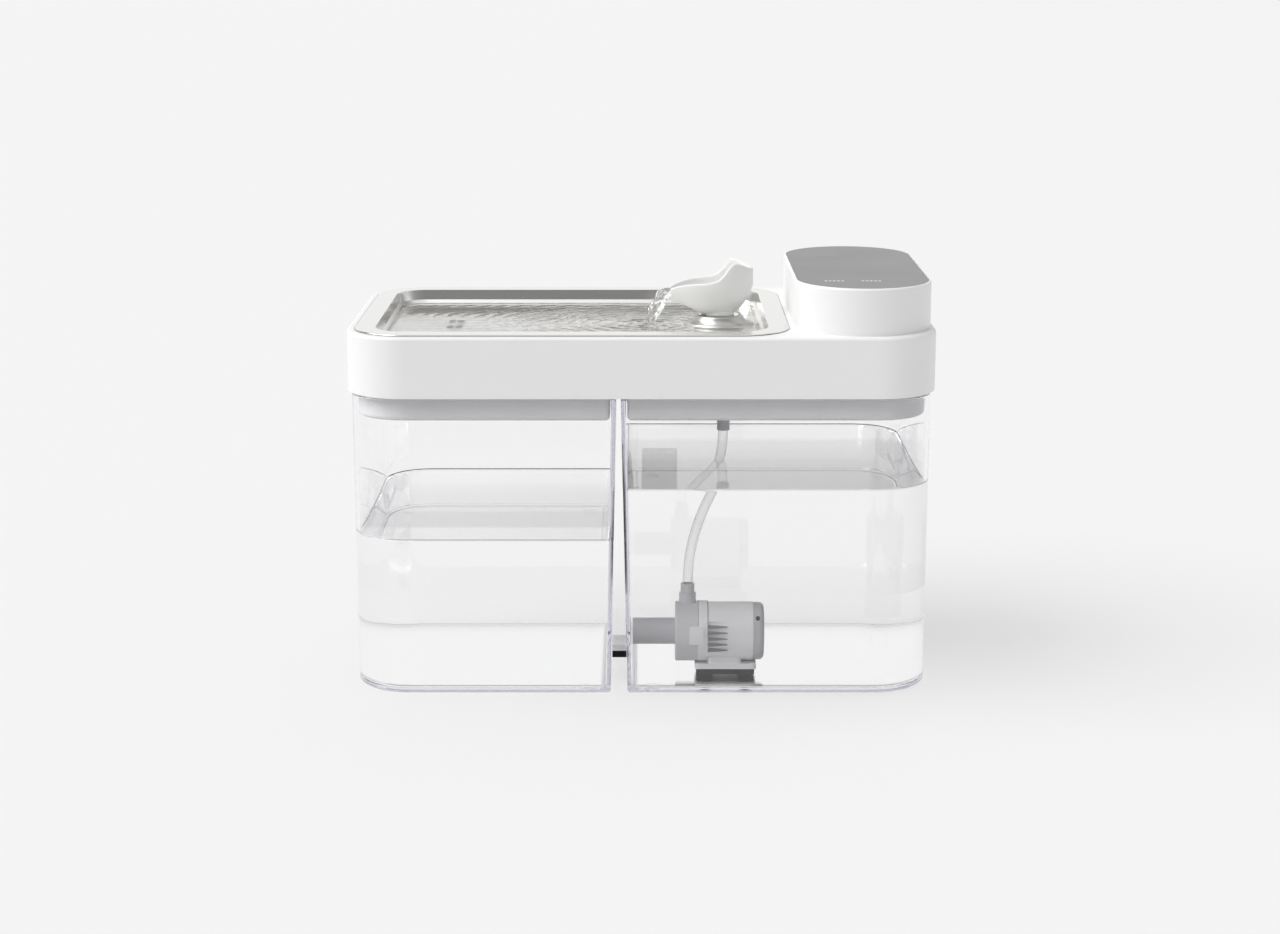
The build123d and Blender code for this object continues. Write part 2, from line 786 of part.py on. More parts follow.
def hose_path():
    """Straight runs joined by tangent arcs, each as large as its two runs allow."""
    points = [Vector(*point) for point in hose_route]
    radii = []
    for before, here, after in zip(points, points[1:], points[2:]):
        run_in, run_out = here - before, after - here
        half_turn = radians(run_in.get_angle(run_out)) / 2
        radii.append(0.45 * min(run_in.length, run_out.length) / tan(half_turn))
    print("hose radii", [round(radius, 1) for radius in radii])
    return FilletPolyline(*points, radius=radii)


def hose():
    """Clear hose from the fitting down to the pump's outlet."""
    path = hose_path()
    start = Plane(origin=path @ 0, z_dir=path % 0)
    tube = sweep(start * Circle(hose_radius), path=path)
    section = pi * hose_radius ** 2
    print("hose length", round(path.length, 2), "swept volume / section", round(tube.volume / section, 2))
    return tube


def sensor_case():
    """Small case under the right collar that looks down at the water."""
    bottom = collar_bottom - sensor_drop
    case = block(sensor_x, sensor_y, bottom, sensor_width, sensor_depth, sensor_drop, sensor_corner)
    case -= block(sensor_x, sensor_y, bottom + sensor_wall, sensor_width - 2 * sensor_wall,
                  sensor_depth - 2 * sensor_wall, sensor_drop)
    low, high = bottom - cut_margin, bottom + sensor_wall + cut_margin
    return case - disc(sensor_x, sensor_y, sensor_lens_radius + screw_clearance, low, high)


def sensor_lens():
    """Window in the case's floor, held by its flange."""
    bottom = collar_bottom - sensor_drop
    seat = bottom + sensor_wall
    lens = disc(sensor_x, sensor_y, sensor_lens_radius, bottom, seat)
    return lens + disc(sensor_x, sensor_y, sensor_lens_radius + sensor_lens_flange, seat, seat + sensor_wall)


# ---------------------------------------------------------------- pump
def volute():
    """Pump cover with the impeller chamber, the upright outlet and the spider for the front bush."""
    body = along_pump(pump_radius, volute_left, volute_right)
    body = fillet(body.edges().group_by(Axis.X)[0], pump_edge)
    nozzle_base_top = pump_axis_level + nozzle_base_height
    body += disc(nozzle_x, pump_y, nozzle_base_radius, pump_axis_level, nozzle_base_top)
    body += disc(nozzle_x, pump_y, nozzle_radius, pump_axis_level, nozzle_top)
    wall_end = volute_left + pump_wall
    body -= along_pump(chamber_radius, wall_end, volute_right + cut_margin)
    inlet = along_pump(stub_radius - stub_wall, volute_left - cut_margin, wall_end + cut_margin)
    middle = Pos(volute_left + pump_wall / 2, pump_y, pump_axis_level)
    spider = middle * Box(pump_wall, spider_width, 2 * stub_radius)
    spider += along_pump(bush_radius + bush_wall, volute_left, wall_end)
    body = body - inlet + (spider & along_pump(stub_radius, volute_left, wall_end))
    body -= along_pump(bush_radius, volute_left - cut_margin, wall_end + cut_margin)
    body -= disc(nozzle_x, pump_y, nozzle_bore, pump_axis_level + chamber_radius - pump_wall, nozzle_top)
    socket_radius = hose_radius + hose_fit
    return body - disc(nozzle_x, pump_y, socket_radius, nozzle_top - hose_seat, nozzle_top + cut_margin)


def intake_stub():
    """Straight intake pipe in front of the volute."""
    left = volute_left - stub_length
    pipe = along_pump(stub_radius, left, volute_left)
    pipe = fillet(pipe.edges().group_by(Axis.X)[0], pump_edge / 2)
    return pipe - along_pump(stub_radius - stub_wall, left - cut_margin, volute_left + cut_margin)


def motor_housing():
    """Housing with its flange ring, rotor well and tapered grooves on both sides."""
    left = volute_right
    shoulder = left + ring_length
    body = along_pump(pump_radius + ring_proud, left, shoulder)
    body += along_pump(pump_radius - ring_proud, left, housing_right)
    body -= along_pump(pump_radius - pump_wall, left + pump_wall, housing_right + cut_margin)
    well_end = left + well_length
    body += along_pump(well_radius + well_wall, left, well_end)
    body -= along_pump(well_radius, left - cut_margin, well_end - pump_wall)
    body -= along_pump(bush_radius, well_end - pump_wall - cut_margin, well_end - pump_wall / 2)
    body -= o_ring_groove()
    for side in (-1, 1):
        for index in range(groove_count):
            turn = groove_pitch_deg * (index - (groove_count - 1) / 2)
            body -= groove(side, turn, shoulder)
    return body


def groove(side, turn, start):
    """Groove that is wide and deep at the flange and runs out along the housing."""
    reach = pump_radius - ring_proud
    over = reach + cut_margin
    run_out = reach + groove_depth / 20
    wedge = Polyline((0, over), (0, reach - groove_depth), (groove_length, run_out), (groove_length, over),
                     close=True)
    solid = extrude(make_face(Plane.XY * wedge), amount=groove_half_width, both=True)
    around = turn if side > 0 else 180 - turn
    return Pos(start, pump_y, pump_axis_level) * Rot(around, 0, 0) * solid


def o_ring_groove():
    """Round groove in the housing's front face for the seal, half of the seal's section deep."""
    place = Pos(volute_right, pump_y, pump_axis_level) * Rot(0, 90, 0)
    return place * Torus(pump_radius - o_ring_inset, o_ring_section)


def o_ring():
    """Seal between volute and housing, pressed flat against the volute."""
    place = Pos(volute_right, pump_y, pump_axis_level) * Rot(0, 90, 0)
    seal = place * Torus(pump_radius - o_ring_inset, o_ring_section - bush_fit)
    return seal & along_pump(pump_radius, volute_right, volute_right + 2 * o_ring_section)


def end_cap():
    """Domed cap that closes the motor."""
    dome = along_pump(pump_radius - 2 * ring_proud, housing_right, cap_right)
    dome = fillet(dome.edges().group_by(Axis.X)[-1], cap_dome)
    spigot_start = housing_right - pump_wall
    dome += along_pump(pump_radius - pump_wall - saddle_fit, spigot_start, housing_right + cut_margin)
    dome -= along_pump(pump_radius - 2 * pump_wall, spigot_start - cut_margin, cap_right - pump_wall)
    gland_place = Pos(housing_right + cap_length / 2, pump_y + pump_radius - pump_wall, pump_axis_level)
    dome -= gland_place * Rot(90, 0, 0) * Cylinder(gland_radius, 4 * pump_wall)
    return dome - cap_plug_place() * Rot(90, 0, 0) * Cylinder(plug_radius, plug_length)


def cap_plug_place():
    """Place of the small plug high on the cap's front."""
    return Pos(housing_right + plug_x, pump_y - plug_y, pump_axis_level + plug_z)


def cap_plug():
    """Rubber plug in the cap's filling hole."""
    plug = cap_plug_place() * Rot(90, 0, 0) * Cylinder(plug_radius, plug_length)
    return plug & along_pump(pump_radius - 2 * ring_proud - plug_recess, housing_right, cap_right)


def pump_gland():
    """Rubber gland at the back of the cap, where the pump's lead enters."""
    y = pump_y + pump_radius - 2 * ring_proud - pump_wall + gland_length / 2
    place = Pos(housing_right + cap_length / 2, y, pump_axis_level) * Rot(90, 0, 0)
    gland = place * Cylinder(gland_radius - bush_fit, gland_length)
    return gland - place * Cylinder(gland_bore, gland_length + cut_margin)


def stator_core():
    """U-shaped core: a leg above and below the rotor well, joined by a bar behind it."""
    left = volute_right + 2 * pump_wall
    bar_left = volute_right + well_length + core_gap
    right = bar_left + core_leg
    well_outer = well_radius + well_wall
    core = Pos(bar_left + core_leg / 2, pump_y, pump_axis_level) * \
        Box(core_leg, core_bar_depth, 2 * well_outer + core_leg)
    for sign in (-1, 1):
        level = pump_axis_level + sign * (well_outer + core_leg_gap + core_leg / 2)
        core += Pos((left + right) / 2, pump_y, level) * Box(right - left, core_depth, core_leg)
    return core & along_pump(pump_radius - pump_wall - core_shell_gap, left, right)


def coil():
    """Winding on the core's bar."""
    bar_left = volute_right + well_length + core_gap
    place = Pos(bar_left + core_leg / 2, pump_y, pump_axis_level)
    length = 2 * (well_radius + well_wall) - cut_margin
    winding = place * Box(core_leg + 2 * coil_side, core_bar_depth + 2 * coil_wall, length)
    bar_hole = Box(core_leg + 2 * coil_fit, core_bar_depth + 2 * coil_fit, length + cut_margin)
    return winding - place * bar_hole


def impeller():
    """Disc with straight vanes towards the intake and a hub on the shaft."""
    face = volute_right - impeller_gap
    wheel = along_pump(impeller_radius, face - impeller_disc, face)
    for index in range(impeller_vanes):
        vane = Pos(0, (impeller_radius + bush_radius) / 2, 0) * \
            Box(impeller_vane_height, impeller_radius - bush_radius, impeller_vane_thickness)
        place = Pos(face - impeller_disc - impeller_vane_height / 2, pump_y, pump_axis_level)
        wheel += place * Rot(360 / impeller_vanes * index, 0, 0) * vane
    wheel += along_pump(hub_radius, face - impeller_disc - impeller_vane_height, face + hub_length)
    return wheel - along_pump(shaft_radius + shaft_fit, volute_left, housing_right)


def rotor_magnet():
    """Ring magnet behind the impeller's hub."""
    left = volute_right - impeller_gap + hub_length
    right = left + magnet_length
    magnet = along_pump(magnet_radius, left, right)
    return magnet - along_pump(shaft_radius + shaft_fit, left - cut_margin, right + cut_margin)


def shaft():
    """Fixed shaft between the two bushes."""
    left = volute_left + shaft_recess
    return along_pump(shaft_radius, left, volute_right + well_length - pump_wall / 2 - shaft_end_gap)


def front_bush():
    """Bush in the volute's spider."""
    right = volute_left + bush_length
    bush = along_pump(bush_radius - bush_fit, volute_left, right)
    return bush - along_pump(shaft_radius + bush_fit, volute_left - cut_margin, right + cut_margin)


def rear_bush():
    """Bush at the bottom of the rotor well."""
    right = volute_right + well_length - pump_wall / 2
    left = right - bush_length
    bush = along_pump(bush_radius - bush_fit, left, right)
    return bush - along_pump(shaft_radius + bush_fit, left - cut_margin, right + cut_margin)


def latches():
    """Two clips that hold the volute to the housing, one on each side."""
    clips = []
    middle_x = volute_right - latch_offset
    seat = pump_radius + ring_proud
    band = along_pump(seat + latch_thickness, middle_x - latch_width / 2, middle_x + latch_width / 2)
    band -= along_pump(seat + bush_fit, middle_x - latch_width, middle_x + latch_width)
    for side in (-1, 1):
        place = Pos(middle_x, pump_y + side * pump_radius, pump_axis_level + latch_rise)
        clips.append(band & place * Box(latch_width, pump_radius, latch_height))
    return clips


def cradle():
    """Foot of the pump: a plate with a saddle shaped to the housing."""
    plate = block(cradle_x, pump_y, cradle_bottom, cradle_length, cradle_width, cradle_thickness, cradle_corner)
    saddle = block(cradle_x - saddle_step, pump_y, cradle_bottom, saddle_length, cradle_width - saddle_inset,
                   cradle_thickness + saddle_rise, cradle_corner)
    body = plate + saddle
    body -= along_pump(pump_radius - ring_proud + saddle_fit, cradle_x - cradle_length, cradle_x + cradle_length)
    ring_end = volute_right + ring_length + saddle_fit
    return body - along_pump(pump_radius + ring_proud + saddle_fit, volute_left, ring_end)


def suction_cups():
    """Four rubber cups under the cradle's corners, standing on the tank's floor."""
    dx = cradle_length / 2 - cup_radius - cup_inset
    dy = cradle_width / 2 - cup_radius - cup_inset
    return [disc(cradle_x + sx * dx, pump_y + sy * dy, cup_radius, floor_level, cradle_bottom)
            for sx in (-1, 1) for sy in (-1, 1)]


# ---------------------------------------------------------------- write the nodes
save("left_tank", tank(-1))
save("right_tank", tank(1))
save("left_tank_feet", *tank_feet(-1))
save("right_tank_feet", *tank_feet(1))
save("link_clip", gap_wedge(link_level, link_level + link_thickness, link_clearance))
save("link_pad", gap_wedge(link_level - link_pad_thickness, link_level, link_clearance))

save("deck_shell", deck_shell())
save("base_plate", base_plate())
save("left_collar", collar(-1))
save("right_collar", collar(1))
save("left_rim_seal", rim_gasket(-1))
save("right_rim_seal", rim_gasket(1))
save("deck_screws", *deck_screws())

save("drinking_tray", tray())
save("riser_pipe", riser_pipe())
save("spout_sleeve", spout_sleeve())
save("bird_spout", spout())

save("filter_frame", filter_frame())
save("filter_lid", filter_lid())
pad_low = filter_bottom + filter_wall + pad_clearance
lid_low = tub_floor_level + filter_wall - filter_lid_thickness
save("filter_cotton", filter_layer(pad_low, pad_low + pad_thickness))
save("filter_carbon", filter_layer(pad_low + pad_thickness + pad_clearance, lid_low - pad_clearance))

save("pod_shell", pod_shell())
save("touch_panel", touch_panel())
save("control_board", control_board())
save("key_contacts", *key_contacts())
save("board_screws", *board_screws())
save("pod_screws", *pod_screws())
save("power_inlet", power_inlet())
save("inlet_tongue", inlet_tongue())
save("inlet_board", inlet_board())

save("hose_fitting", hose_fitting())
save("hose", hose())
save("sensor_case", sensor_case())
save("sensor_lens", sensor_lens())

save("pump_volute", volute())
save("intake_stub", intake_stub())
save("motor_housing", motor_housing())
save("pump_o_ring", o_ring())
save("end_cap", end_cap())
save("cap_plug", cap_plug())
save("pump_gland", pump_gland())
save("stator_core", stator_core())
save("stator_coil", coil())
save("impeller", impeller())
save("rotor_magnet", rotor_magnet())
save("rotor_shaft", shaft())
save("front_bush", front_bush())
save("rear_bush", rear_bush())
save("pump_latches", *latches())
save("pump_cradle", cradle())
save("suction_cups", *suction_cups())
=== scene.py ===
"""Dresses the pet water fountain: finishes for its solids, the water, the hose, the marks and the studio."""

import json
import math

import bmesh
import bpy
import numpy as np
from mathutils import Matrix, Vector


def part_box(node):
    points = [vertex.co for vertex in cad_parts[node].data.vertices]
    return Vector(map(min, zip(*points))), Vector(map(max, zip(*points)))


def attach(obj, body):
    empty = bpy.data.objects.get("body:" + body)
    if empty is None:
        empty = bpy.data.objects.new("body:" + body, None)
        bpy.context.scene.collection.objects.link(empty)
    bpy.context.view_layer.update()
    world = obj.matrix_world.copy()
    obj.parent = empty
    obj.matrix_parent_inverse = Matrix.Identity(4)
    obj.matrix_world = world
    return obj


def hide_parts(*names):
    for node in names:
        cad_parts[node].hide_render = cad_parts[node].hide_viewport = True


bl_info = {
    "name": "Pet water fountain looks",
    "version": (1, 0, 0),
    "blender": (4, 5, 0),
    "location": "View3D > Sidebar > Fountain",
    "description": "Builds the water, hose, marks and finishes of a twin-tank pet fountain, and its studio",
    "category": "Object",
}

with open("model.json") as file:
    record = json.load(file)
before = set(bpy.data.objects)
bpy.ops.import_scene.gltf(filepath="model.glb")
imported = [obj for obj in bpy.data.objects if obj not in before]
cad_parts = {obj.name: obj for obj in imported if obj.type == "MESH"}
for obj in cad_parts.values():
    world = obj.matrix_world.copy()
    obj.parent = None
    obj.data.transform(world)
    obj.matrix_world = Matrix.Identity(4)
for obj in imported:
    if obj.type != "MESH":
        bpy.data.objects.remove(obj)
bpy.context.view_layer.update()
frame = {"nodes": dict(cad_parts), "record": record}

MM = 0.001

# -------------------- sizes shared with the solids, in millimetres
GAP_X = -13.0
GAP_AT_TOP = 2.4
GAP_AT_BOTTOM = 9.6
TANK_BOTTOM = 1.2
TANK_HEIGHT = 174.6
TANK_X = 167.8
TANK_Y = 92.8
TANK_CORNER = 32.8
FACING_CORNER = 2.0
TANK_WALL = 2.5
TANK_FLOOR = 3.7
TANK_EDGE = 3.5
TANK_UNDER_EDGE = 2.0
LID_INSET = 14.0
WATER_TOP_FROM = 60.0
CLIMB_STEPS = (0.0, 0.15, 0.35, 0.7, 1.2, 1.9, 2.8, 4.0, 5.5, 7.5, 8.5)

TRAY_LEFT = -165.45
TRAY_RIGHT = 85.45
TRAY_HALF_WIDTH = 90.4
RIM_TOP = 212.7
RIM_WIDTH = 12.0
RIM_CORNER = 30.0
BASIN_DEPTH = 13.0
BASIN_TAPER = 2.5
BOSS_X = 46.6
BOSS_AT_WATER = 18.4
BASIN_FLOOR = RIM_TOP - BASIN_DEPTH
DRAIN_X = -112.0
DRAIN_ROW = 10.0
DRAIN_PITCH = 5.0
# Radius of the dark discs of painted shade in the drain holes.
DRAIN_SHADE_RADIUS = 2.45
STEP_TOP = 206.7
STEP_FOOT = 204.4
STEP_WIDTH = 1.9

# The panel's marks: a row of plain bars over each key.
MARK_ROWS = (105.3, 126.6)
MARKS_IN_ROW = 5
MARK_LENGTH = 1.5
MARK_PITCH = 2.4
MARK_HALF_WIDTH = 1.9
MARK_CORNER = 0.5
MARK_Y = -59.6

# The pump's motor housing: its axis runs along X.
HOUSING_AXIS = (-45.0, 28.75)
HOUSING_RADIUS = 18.4
HOUSING_LEFT = 33.5
RING_RIGHT = 39.2
GROOVE_RIGHT = 51.0
GROOVE_LEVELS = (34.8, 31.2, 27.5, 23.8, 20.0)
GROOVE_HALF_WIDTH = 1.15
GROOVE_TAPER = 0.92
SEAM_HALF_WIDTH = 0.15
# The suction cups' box, which the dark pad of painted shadow fills.
CUPS_LOW = (33.4, -56.6, 3.8)
CUPS_HIGH = (66.6, -33.4, 7.9)
PAD_CORNER = 2.0

# The hose's route, as (x, y, z): chosen one by one, straight into both sockets.
HOSE_ROUTE = (
    (49.9, 0.0, 147.0), (49.9, 0.0, 134.0), (47.9, -7.0, 122.7), (43.0, -20.0, 111.0),
    (36.0, -32.5, 99.5), (30.3, -41.5, 84.5), (27.4, -45.0, 67.0), (27.4, -45.0, 50.4),
)

# Where the top of a tank's water is painted grey, as painted shade and reflection: (share of the way from
# front to back, strength).
LEFT_WATER_PAINTED_SHADE = (
    (0.0, 0.35), (0.19, 0.35), (0.22, 1.0), (0.38, 1.0), (0.42, 0.6), (0.6, 0.5), (0.73, 0.25), (0.79, 0.0),
)
RIGHT_WATER_PAINTED_SHADE = ((0.0, 1.0), (0.25, 0.95), (0.42, 0.8), (0.5, 0.6), (0.7, 0.45), (0.77, 0.0))
BAND_SPAN = 200.0
# How bright the sky is in a mirror, as (height of the view, brightness).
SKY_BANDS = ((0.0, 1.0), (0.38, 1.0), (0.47, 0.35), (0.7, 0.35), (0.8, 1.0))
# Light runs along the tanks' walls from side to side, and needs this many bounces to get out again.
LIGHT_BOUNCES = 128

# Points in a corner: of a large piece, and of a small one.
CORNER_STEPS = 24
SMALL_STEPS = 6


# -------------------- settings that a user would change
def size(name, description, default):
    """A length in metres for the sidebar."""
    return bpy.props.FloatProperty(name=name, description=description, default=default, unit="LENGTH",
                                   precision=5)


def amount(name, description, default, low=0.0, high=1.0):
    """A plain factor for the sidebar."""
    return bpy.props.FloatProperty(name=name, description=description, default=default, min=low, max=high)


def tilt(name, description, default):
    """An angle for the sidebar."""
    return bpy.props.FloatProperty(name=name, description=description, default=default, subtype="ANGLE")


def point(name, description, default, subtype="TRANSLATION"):
    """A place or a direction for the sidebar."""
    return bpy.props.FloatVectorProperty(name=name, description=description, default=default, size=3,
                                         subtype=subtype)


def paint(name, description, default):
    """A colour for the sidebar."""
    return bpy.props.FloatVectorProperty(name=name, description=description, default=default, size=3,
                                         subtype="COLOR", min=0.0, max=1.0)


class FountainColours(bpy.types.PropertyGroup):
    """Colours of the finishes."""
    shell: paint("Deck", "Satin white plastic of deck and pod", (0.87, 0.87, 0.872))
    spout: paint("Bird", "Matte white plastic of the bird spout", (0.87, 0.87, 0.86))
    collar: paint("Collar", "Light grey plastic of the collars and the base plate", (0.93, 0.92, 0.94))
    panel: paint("Panel", "Grey touch panel", (0.15, 0.147, 0.147))
    steel: paint("Steel", "Pressed steel of the drinking tray", (0.86, 0.855, 0.835))
    pump: paint("Pump", "Light grey plastic of the pump", (0.95, 0.95, 0.965))
    pump_middle: paint("Volute", "Grey plastic of the pump's volute", (0.70, 0.70, 0.72))
    pump_dark: paint("Pump parts", "Darker grey plastic of intake, cap and fitting", (0.58, 0.58, 0.60))
    clear: paint("Clear plastic", "Tint of the tanks' plastic", (1.0, 1.0, 1.0))
    water: paint("Water", "Tint of the water", (1.0, 1.0, 1.0))


class FountainWater(bpy.types.PropertyGroup):
    """Levels and surfaces of the water."""
    left_level: size("Left level", "Level of the used water", 92.6 * MM)
    right_level: size("Right level", "Level of the fresh water", 122.5 * MM)
    tray_level: size("Tray level", "Level of the water in the tray", 204.7 * MM)
    overlap: size("Wall overlap", "How far the water reaches into its walls, to leave no air film", 0.1 * MM)
    climb: size("Climb", "How far the water climbs up a wall", 1.1 * MM)
    climb_reach: size("Climb reach", "How far from the wall the climb fades", 1.7 * MM)
    ripple: size("Ripple", "Height of the ripples where the stream lands", 0.42 * MM)
    ripple_length: size("Ripple length", "Distance between two ripples", 7.0 * MM)
    ripple_reach: size("Ripple reach", "How far from the stream the ripples fade", 44.0 * MM)


class FountainStream(bpy.types.PropertyGroup):
    """The stream that pours from the bird's tail."""
    lip: point("Lip", "Where the stream leaves the tail", (17.8 * MM, 0.0, 223.6 * MM))
    landing: point("Landing", "Where the stream meets the tray's water", (5.0 * MM, -1.0 * MM, 204.0 * MM))
    run: size("Run", "Length of the flow inside the tail", 9.0 * MM)
    width: size("Width", "Half width of the stream at the tail", 4.6 * MM)
    thickness: size("Thickness", "Half thickness of the stream at the tail", 2.2 * MM)


class FountainHose(bpy.types.PropertyGroup):
    """The clear hose between pump and deck."""
    diameter: size("Diameter", "Outside diameter of the hose", 6.0 * MM)
    length: size("Length", "Length of the hose", 115.0 * MM)


class FountainStudio(bpy.types.PropertyGroup):
    """Camera, floor and lamps."""
    eye: point("Eye", "Place of the camera", (-0.0008, -1.3845, 0.4366))
    pitch: tilt("Pitch", "How far the camera looks down", 0.228)
    lens: bpy.props.FloatProperty(name="Lens", description="Focal length in millimetres", default=65.35)
    floor_size: size("Floor", "Half width of the floor", 30.0)
    floor_colour: paint("Floor colour", "Colour of floor and background", (0.86, 0.86, 0.86))
    floor_plain: amount("Plain floor", "How much of the floor shows its own colour, without shadow", 0.62)
    sky: amount("Sky", "Light from all round", 0.64, 0.0, 4.0)
    dim: amount("Dim side", "How much darker the sky is low down on the camera's side", 0.72)
    key: amount("Key lamp", "Strength of the soft lamp on the left", 2.2, 0.0, 20.0)
    key_angle: tilt("Key width", "Width of the soft lamp", 0.9)
    key_from: point("Key from", "Direction that the lamp lights from", (-0.64, -0.17, 0.75), "DIRECTION")


SETTINGS = {
    "fountain_colours": FountainColours,
    "fountain_water": FountainWater,
    "fountain_stream": FountainStream,
    "fountain_hose": FountainHose,
    "fountain_studio": FountainStudio,
}


# -------------------- shader maths and node building
def arithmetic(operation, backward=False):
    """Maker of one of a wire's operators."""
    def act(wire, other):
        first, second = (other, wire) if backward else (wire, other)
        return wire.owner.node("Math", {"operation": operation}, {0: first, 1: second})
    return act


class Wire:
    """A node's output that takes part in arithmetic: every operator adds one Math node."""
    __add__ = __radd__ = arithmetic("ADD")
    __sub__ = arithmetic("SUBTRACT")
    __rsub__ = arithmetic("SUBTRACT", backward=True)
    __mul__ = __rmul__ = arithmetic("MULTIPLY")
    __pow__ = arithmetic("POWER")

    def __init__(self, owner, socket):
        self.owner = owner
        self.socket = socket


class Nodes:
    """A node tree under construction."""

    def __init__(self, owner):
        owner.use_nodes = True
        self.tree = owner.node_tree
        self.tree.nodes.clear()

    def node(self, kind, settings=(), sockets=(), output=0):
        """Adds a node, its settings first and then its sockets' values or links, and returns one output."""
        made = self.tree.nodes.new("ShaderNode" + kind)
        for key, value in dict(settings).items():
            if key == "stops":
                self.set_stops(made.color_ramp, value)
            else:
                setattr(made, key, value)
        for key, value in dict(sockets).items():
            if isinstance(value, Wire):
                self.tree.links.new(value.socket, made.inputs[key])
            else:
                made.inputs[key].default_value = value
        return Wire(self, made.outputs[output])

    def clamped(self, operation, first, second):
        """Arithmetic whose result is kept from 0 to 1."""
        return self.node("Math", {"operation": operation, "use_clamp": True}, {0: first, 1: second})

    def finish(self, kind, **sockets):
        """Wires the output node's sockets."""
        out = self.tree.nodes.new("ShaderNodeOutput" + kind)
        for key, wire in sockets.items():
            self.tree.links.new(wire.socket, out.inputs[key])

    @staticmethod
    def set_stops(ramp, stops):
        """Gives a ramp its (place, grey) stops."""
        while len(ramp.elements) < len(stops):
            ramp.elements.new(1.0)
        for element, (place, grey) in zip(ramp.elements, stops):
            element.position = place
            element.color = (grey, grey, grey, 1.0)


class Finish(Nodes):
    """A node material under construction."""

    def __init__(self, name):
        self.material = bpy.data.materials.new(name)
        super().__init__(self.material)

    def place(self, stretch=(1.0, 1.0, 1.0)):
        """Object coordinates, stretched along their axes."""
        here = self.node("TexCoord", output=3)
        return self.node("Mapping", sockets={"Vector": here, "Scale": stretch})

    def noise(self, scale, detail=2.0, stretch=(1.0, 1.0, 1.0)):
        """Cloudy value from 0 to 1 with features of about 1/scale metres."""
        return self.node("TexNoise", sockets={
            "Vector": self.place(stretch), "Scale": scale, "Detail": detail})

    def between(self, factor, first, second):
        """Colour that goes from first to second with a factor."""
        ends = {0: factor, 6: (*first, 1.0), 7: (*second, 1.0)}
        return self.node("Mix", {"data_type": "RGBA"}, ends, output=2)

    def bump(self, height, distance, strength=1.0):
        """Normal raised by a height."""
        return self.node("Bump", sockets={"Height": height, "Distance": distance, "Strength": strength})

    def plastic(self, colour, roughness, grain=2600.0, shade=0.03, **extra):
        """Moulded plastic: a faint cloud in its colour, a slightly uneven gloss and a fine grain."""
        cloud = self.noise(28.0, 3.0)
        darker = tuple(channel * (1.0 - shade) for channel in colour)
        sockets = {
            "Base Color": self.between(cloud, darker, colour),
            "Roughness": cloud * 0.08 + (roughness - 0.04),
            "Normal": self.bump(self.noise(grain, 2.0), 0.00002),
        }
        return self.node("BsdfPrincipled", sockets=sockets | extra)

    def metal(self, colour, roughness, stretch=(1.0, 1.0, 1.0)):
        """Rolled metal: fine lines where it is stretched, and an uneven polish."""
        lines = self.noise(900.0, 3.0, stretch)
        cloud = self.noise(14.0, 2.0)
        darker = tuple(channel * 0.95 for channel in colour)
        return self.node("BsdfPrincipled", sockets={
            "Base Color": self.between(cloud, darker, colour),
            "Metallic": 1.0,
            "Roughness": lines * 0.06 + cloud * 0.05 + (roughness - 0.055),
            "Normal": self.bump(lines, 0.00001, 0.5),
        })

    def clear(self, tint, ior, shade, mirror=0.5):
        """Clear body that bends light, but lets the lamps' light pass straight on, dimmed by shade."""
        base = tint if isinstance(tint, Wire) else (*tint, 1.0)
        body = self.node("BsdfPrincipled", sockets={
            "Base Color": base, "Roughness": 0.0, "IOR": ior, "Specular IOR Level": mirror,
            "Transmission Weight": 1.0})
        straight = self.straight(shade)
        return self.mixed(self.node("LightPath", output=1), body, straight)

    def straight(self, shade):
        """Lets light pass straight on, dimmed by shade."""
        return self.node("BsdfTransparent", sockets={"Color": (*shade, 1.0)})

    def mixed(self, share, first, second):
        """Surface that goes from first to second with a share."""
        return self.node("MixShader", sockets={0: share, 1: first, 2: second})

    def along(self, blend=0.5):
        """From 0 where a surface is seen straight on to 1 where it is seen along itself."""
        return self.node("LayerWeight", sockets={"Blend": blend}, output=1)

    def done(self, surface, **more):
        """Wires the surface, and a volume if there is one, and returns the material."""
        self.finish("Material", Surface=surface, **more)
        return self.material

    def solid(self, sockets):
        """Wires one plain body, and returns the material."""
        return self.done(self.node("BsdfPrincipled", sockets=sockets))


# -------------------- finishes, one for each slot
WATER_IOR = 1.333
WATER_SHADOW = (0.98, 0.98, 0.985)


def tank_clear(finish, colours):
    """Clear plastic: lilac where the light runs along a wall, from its absorption, and a painted lilac shade
    where a wall is seen end on.
    """
    shade = (0.975, 0.975, 0.98)
    # Painted shade: the colour turns dark lilac where a wall is seen end on.
    tint = finish.between(finish.along() ** 14.0, tuple(colours.clear), (0.78, 0.77, 0.84))
    absorb = finish.node("VolumeAbsorption", sockets={"Color": (0.40, 0.38, 0.62, 1.0), "Density": 2.2})
    return finish.done(finish.clear(tint, 1.5, shade, mirror=0.2), Volume=absorb)


def water_clear(finish, colours):
    return finish.done(finish.clear(colours.water, WATER_IOR, WATER_SHADOW))


def shaded_water(finish, colours, shade, bands):
    """Water in a tank: its top is painted grey, a painted shade and reflection of the deck above it, where
    it is seen along its surface, in bands from front to back over the band span."""
    across, height = (finish.node("SeparateXYZ", sockets={0: finish.node("TexCoord", output=3)}, output=axis)
                      for axis in (1, 2))
    top = finish.node("Math", {"operation": "GREATER_THAN"}, {0: height, 1: WATER_TOP_FROM * MM})
    band = finish.node("ValToRGB", {"stops": bands}, {0: across * (1.0 / (BAND_SPAN * MM)) + 0.5})
    # Painted shade: the top's colour greys in the bands, more where it is seen along its surface.
    tint = finish.between(top * band * finish.along(), tuple(colours.water), (shade, shade, shade * 1.02))
    return finish.done(finish.clear(tint, WATER_IOR, WATER_SHADOW))


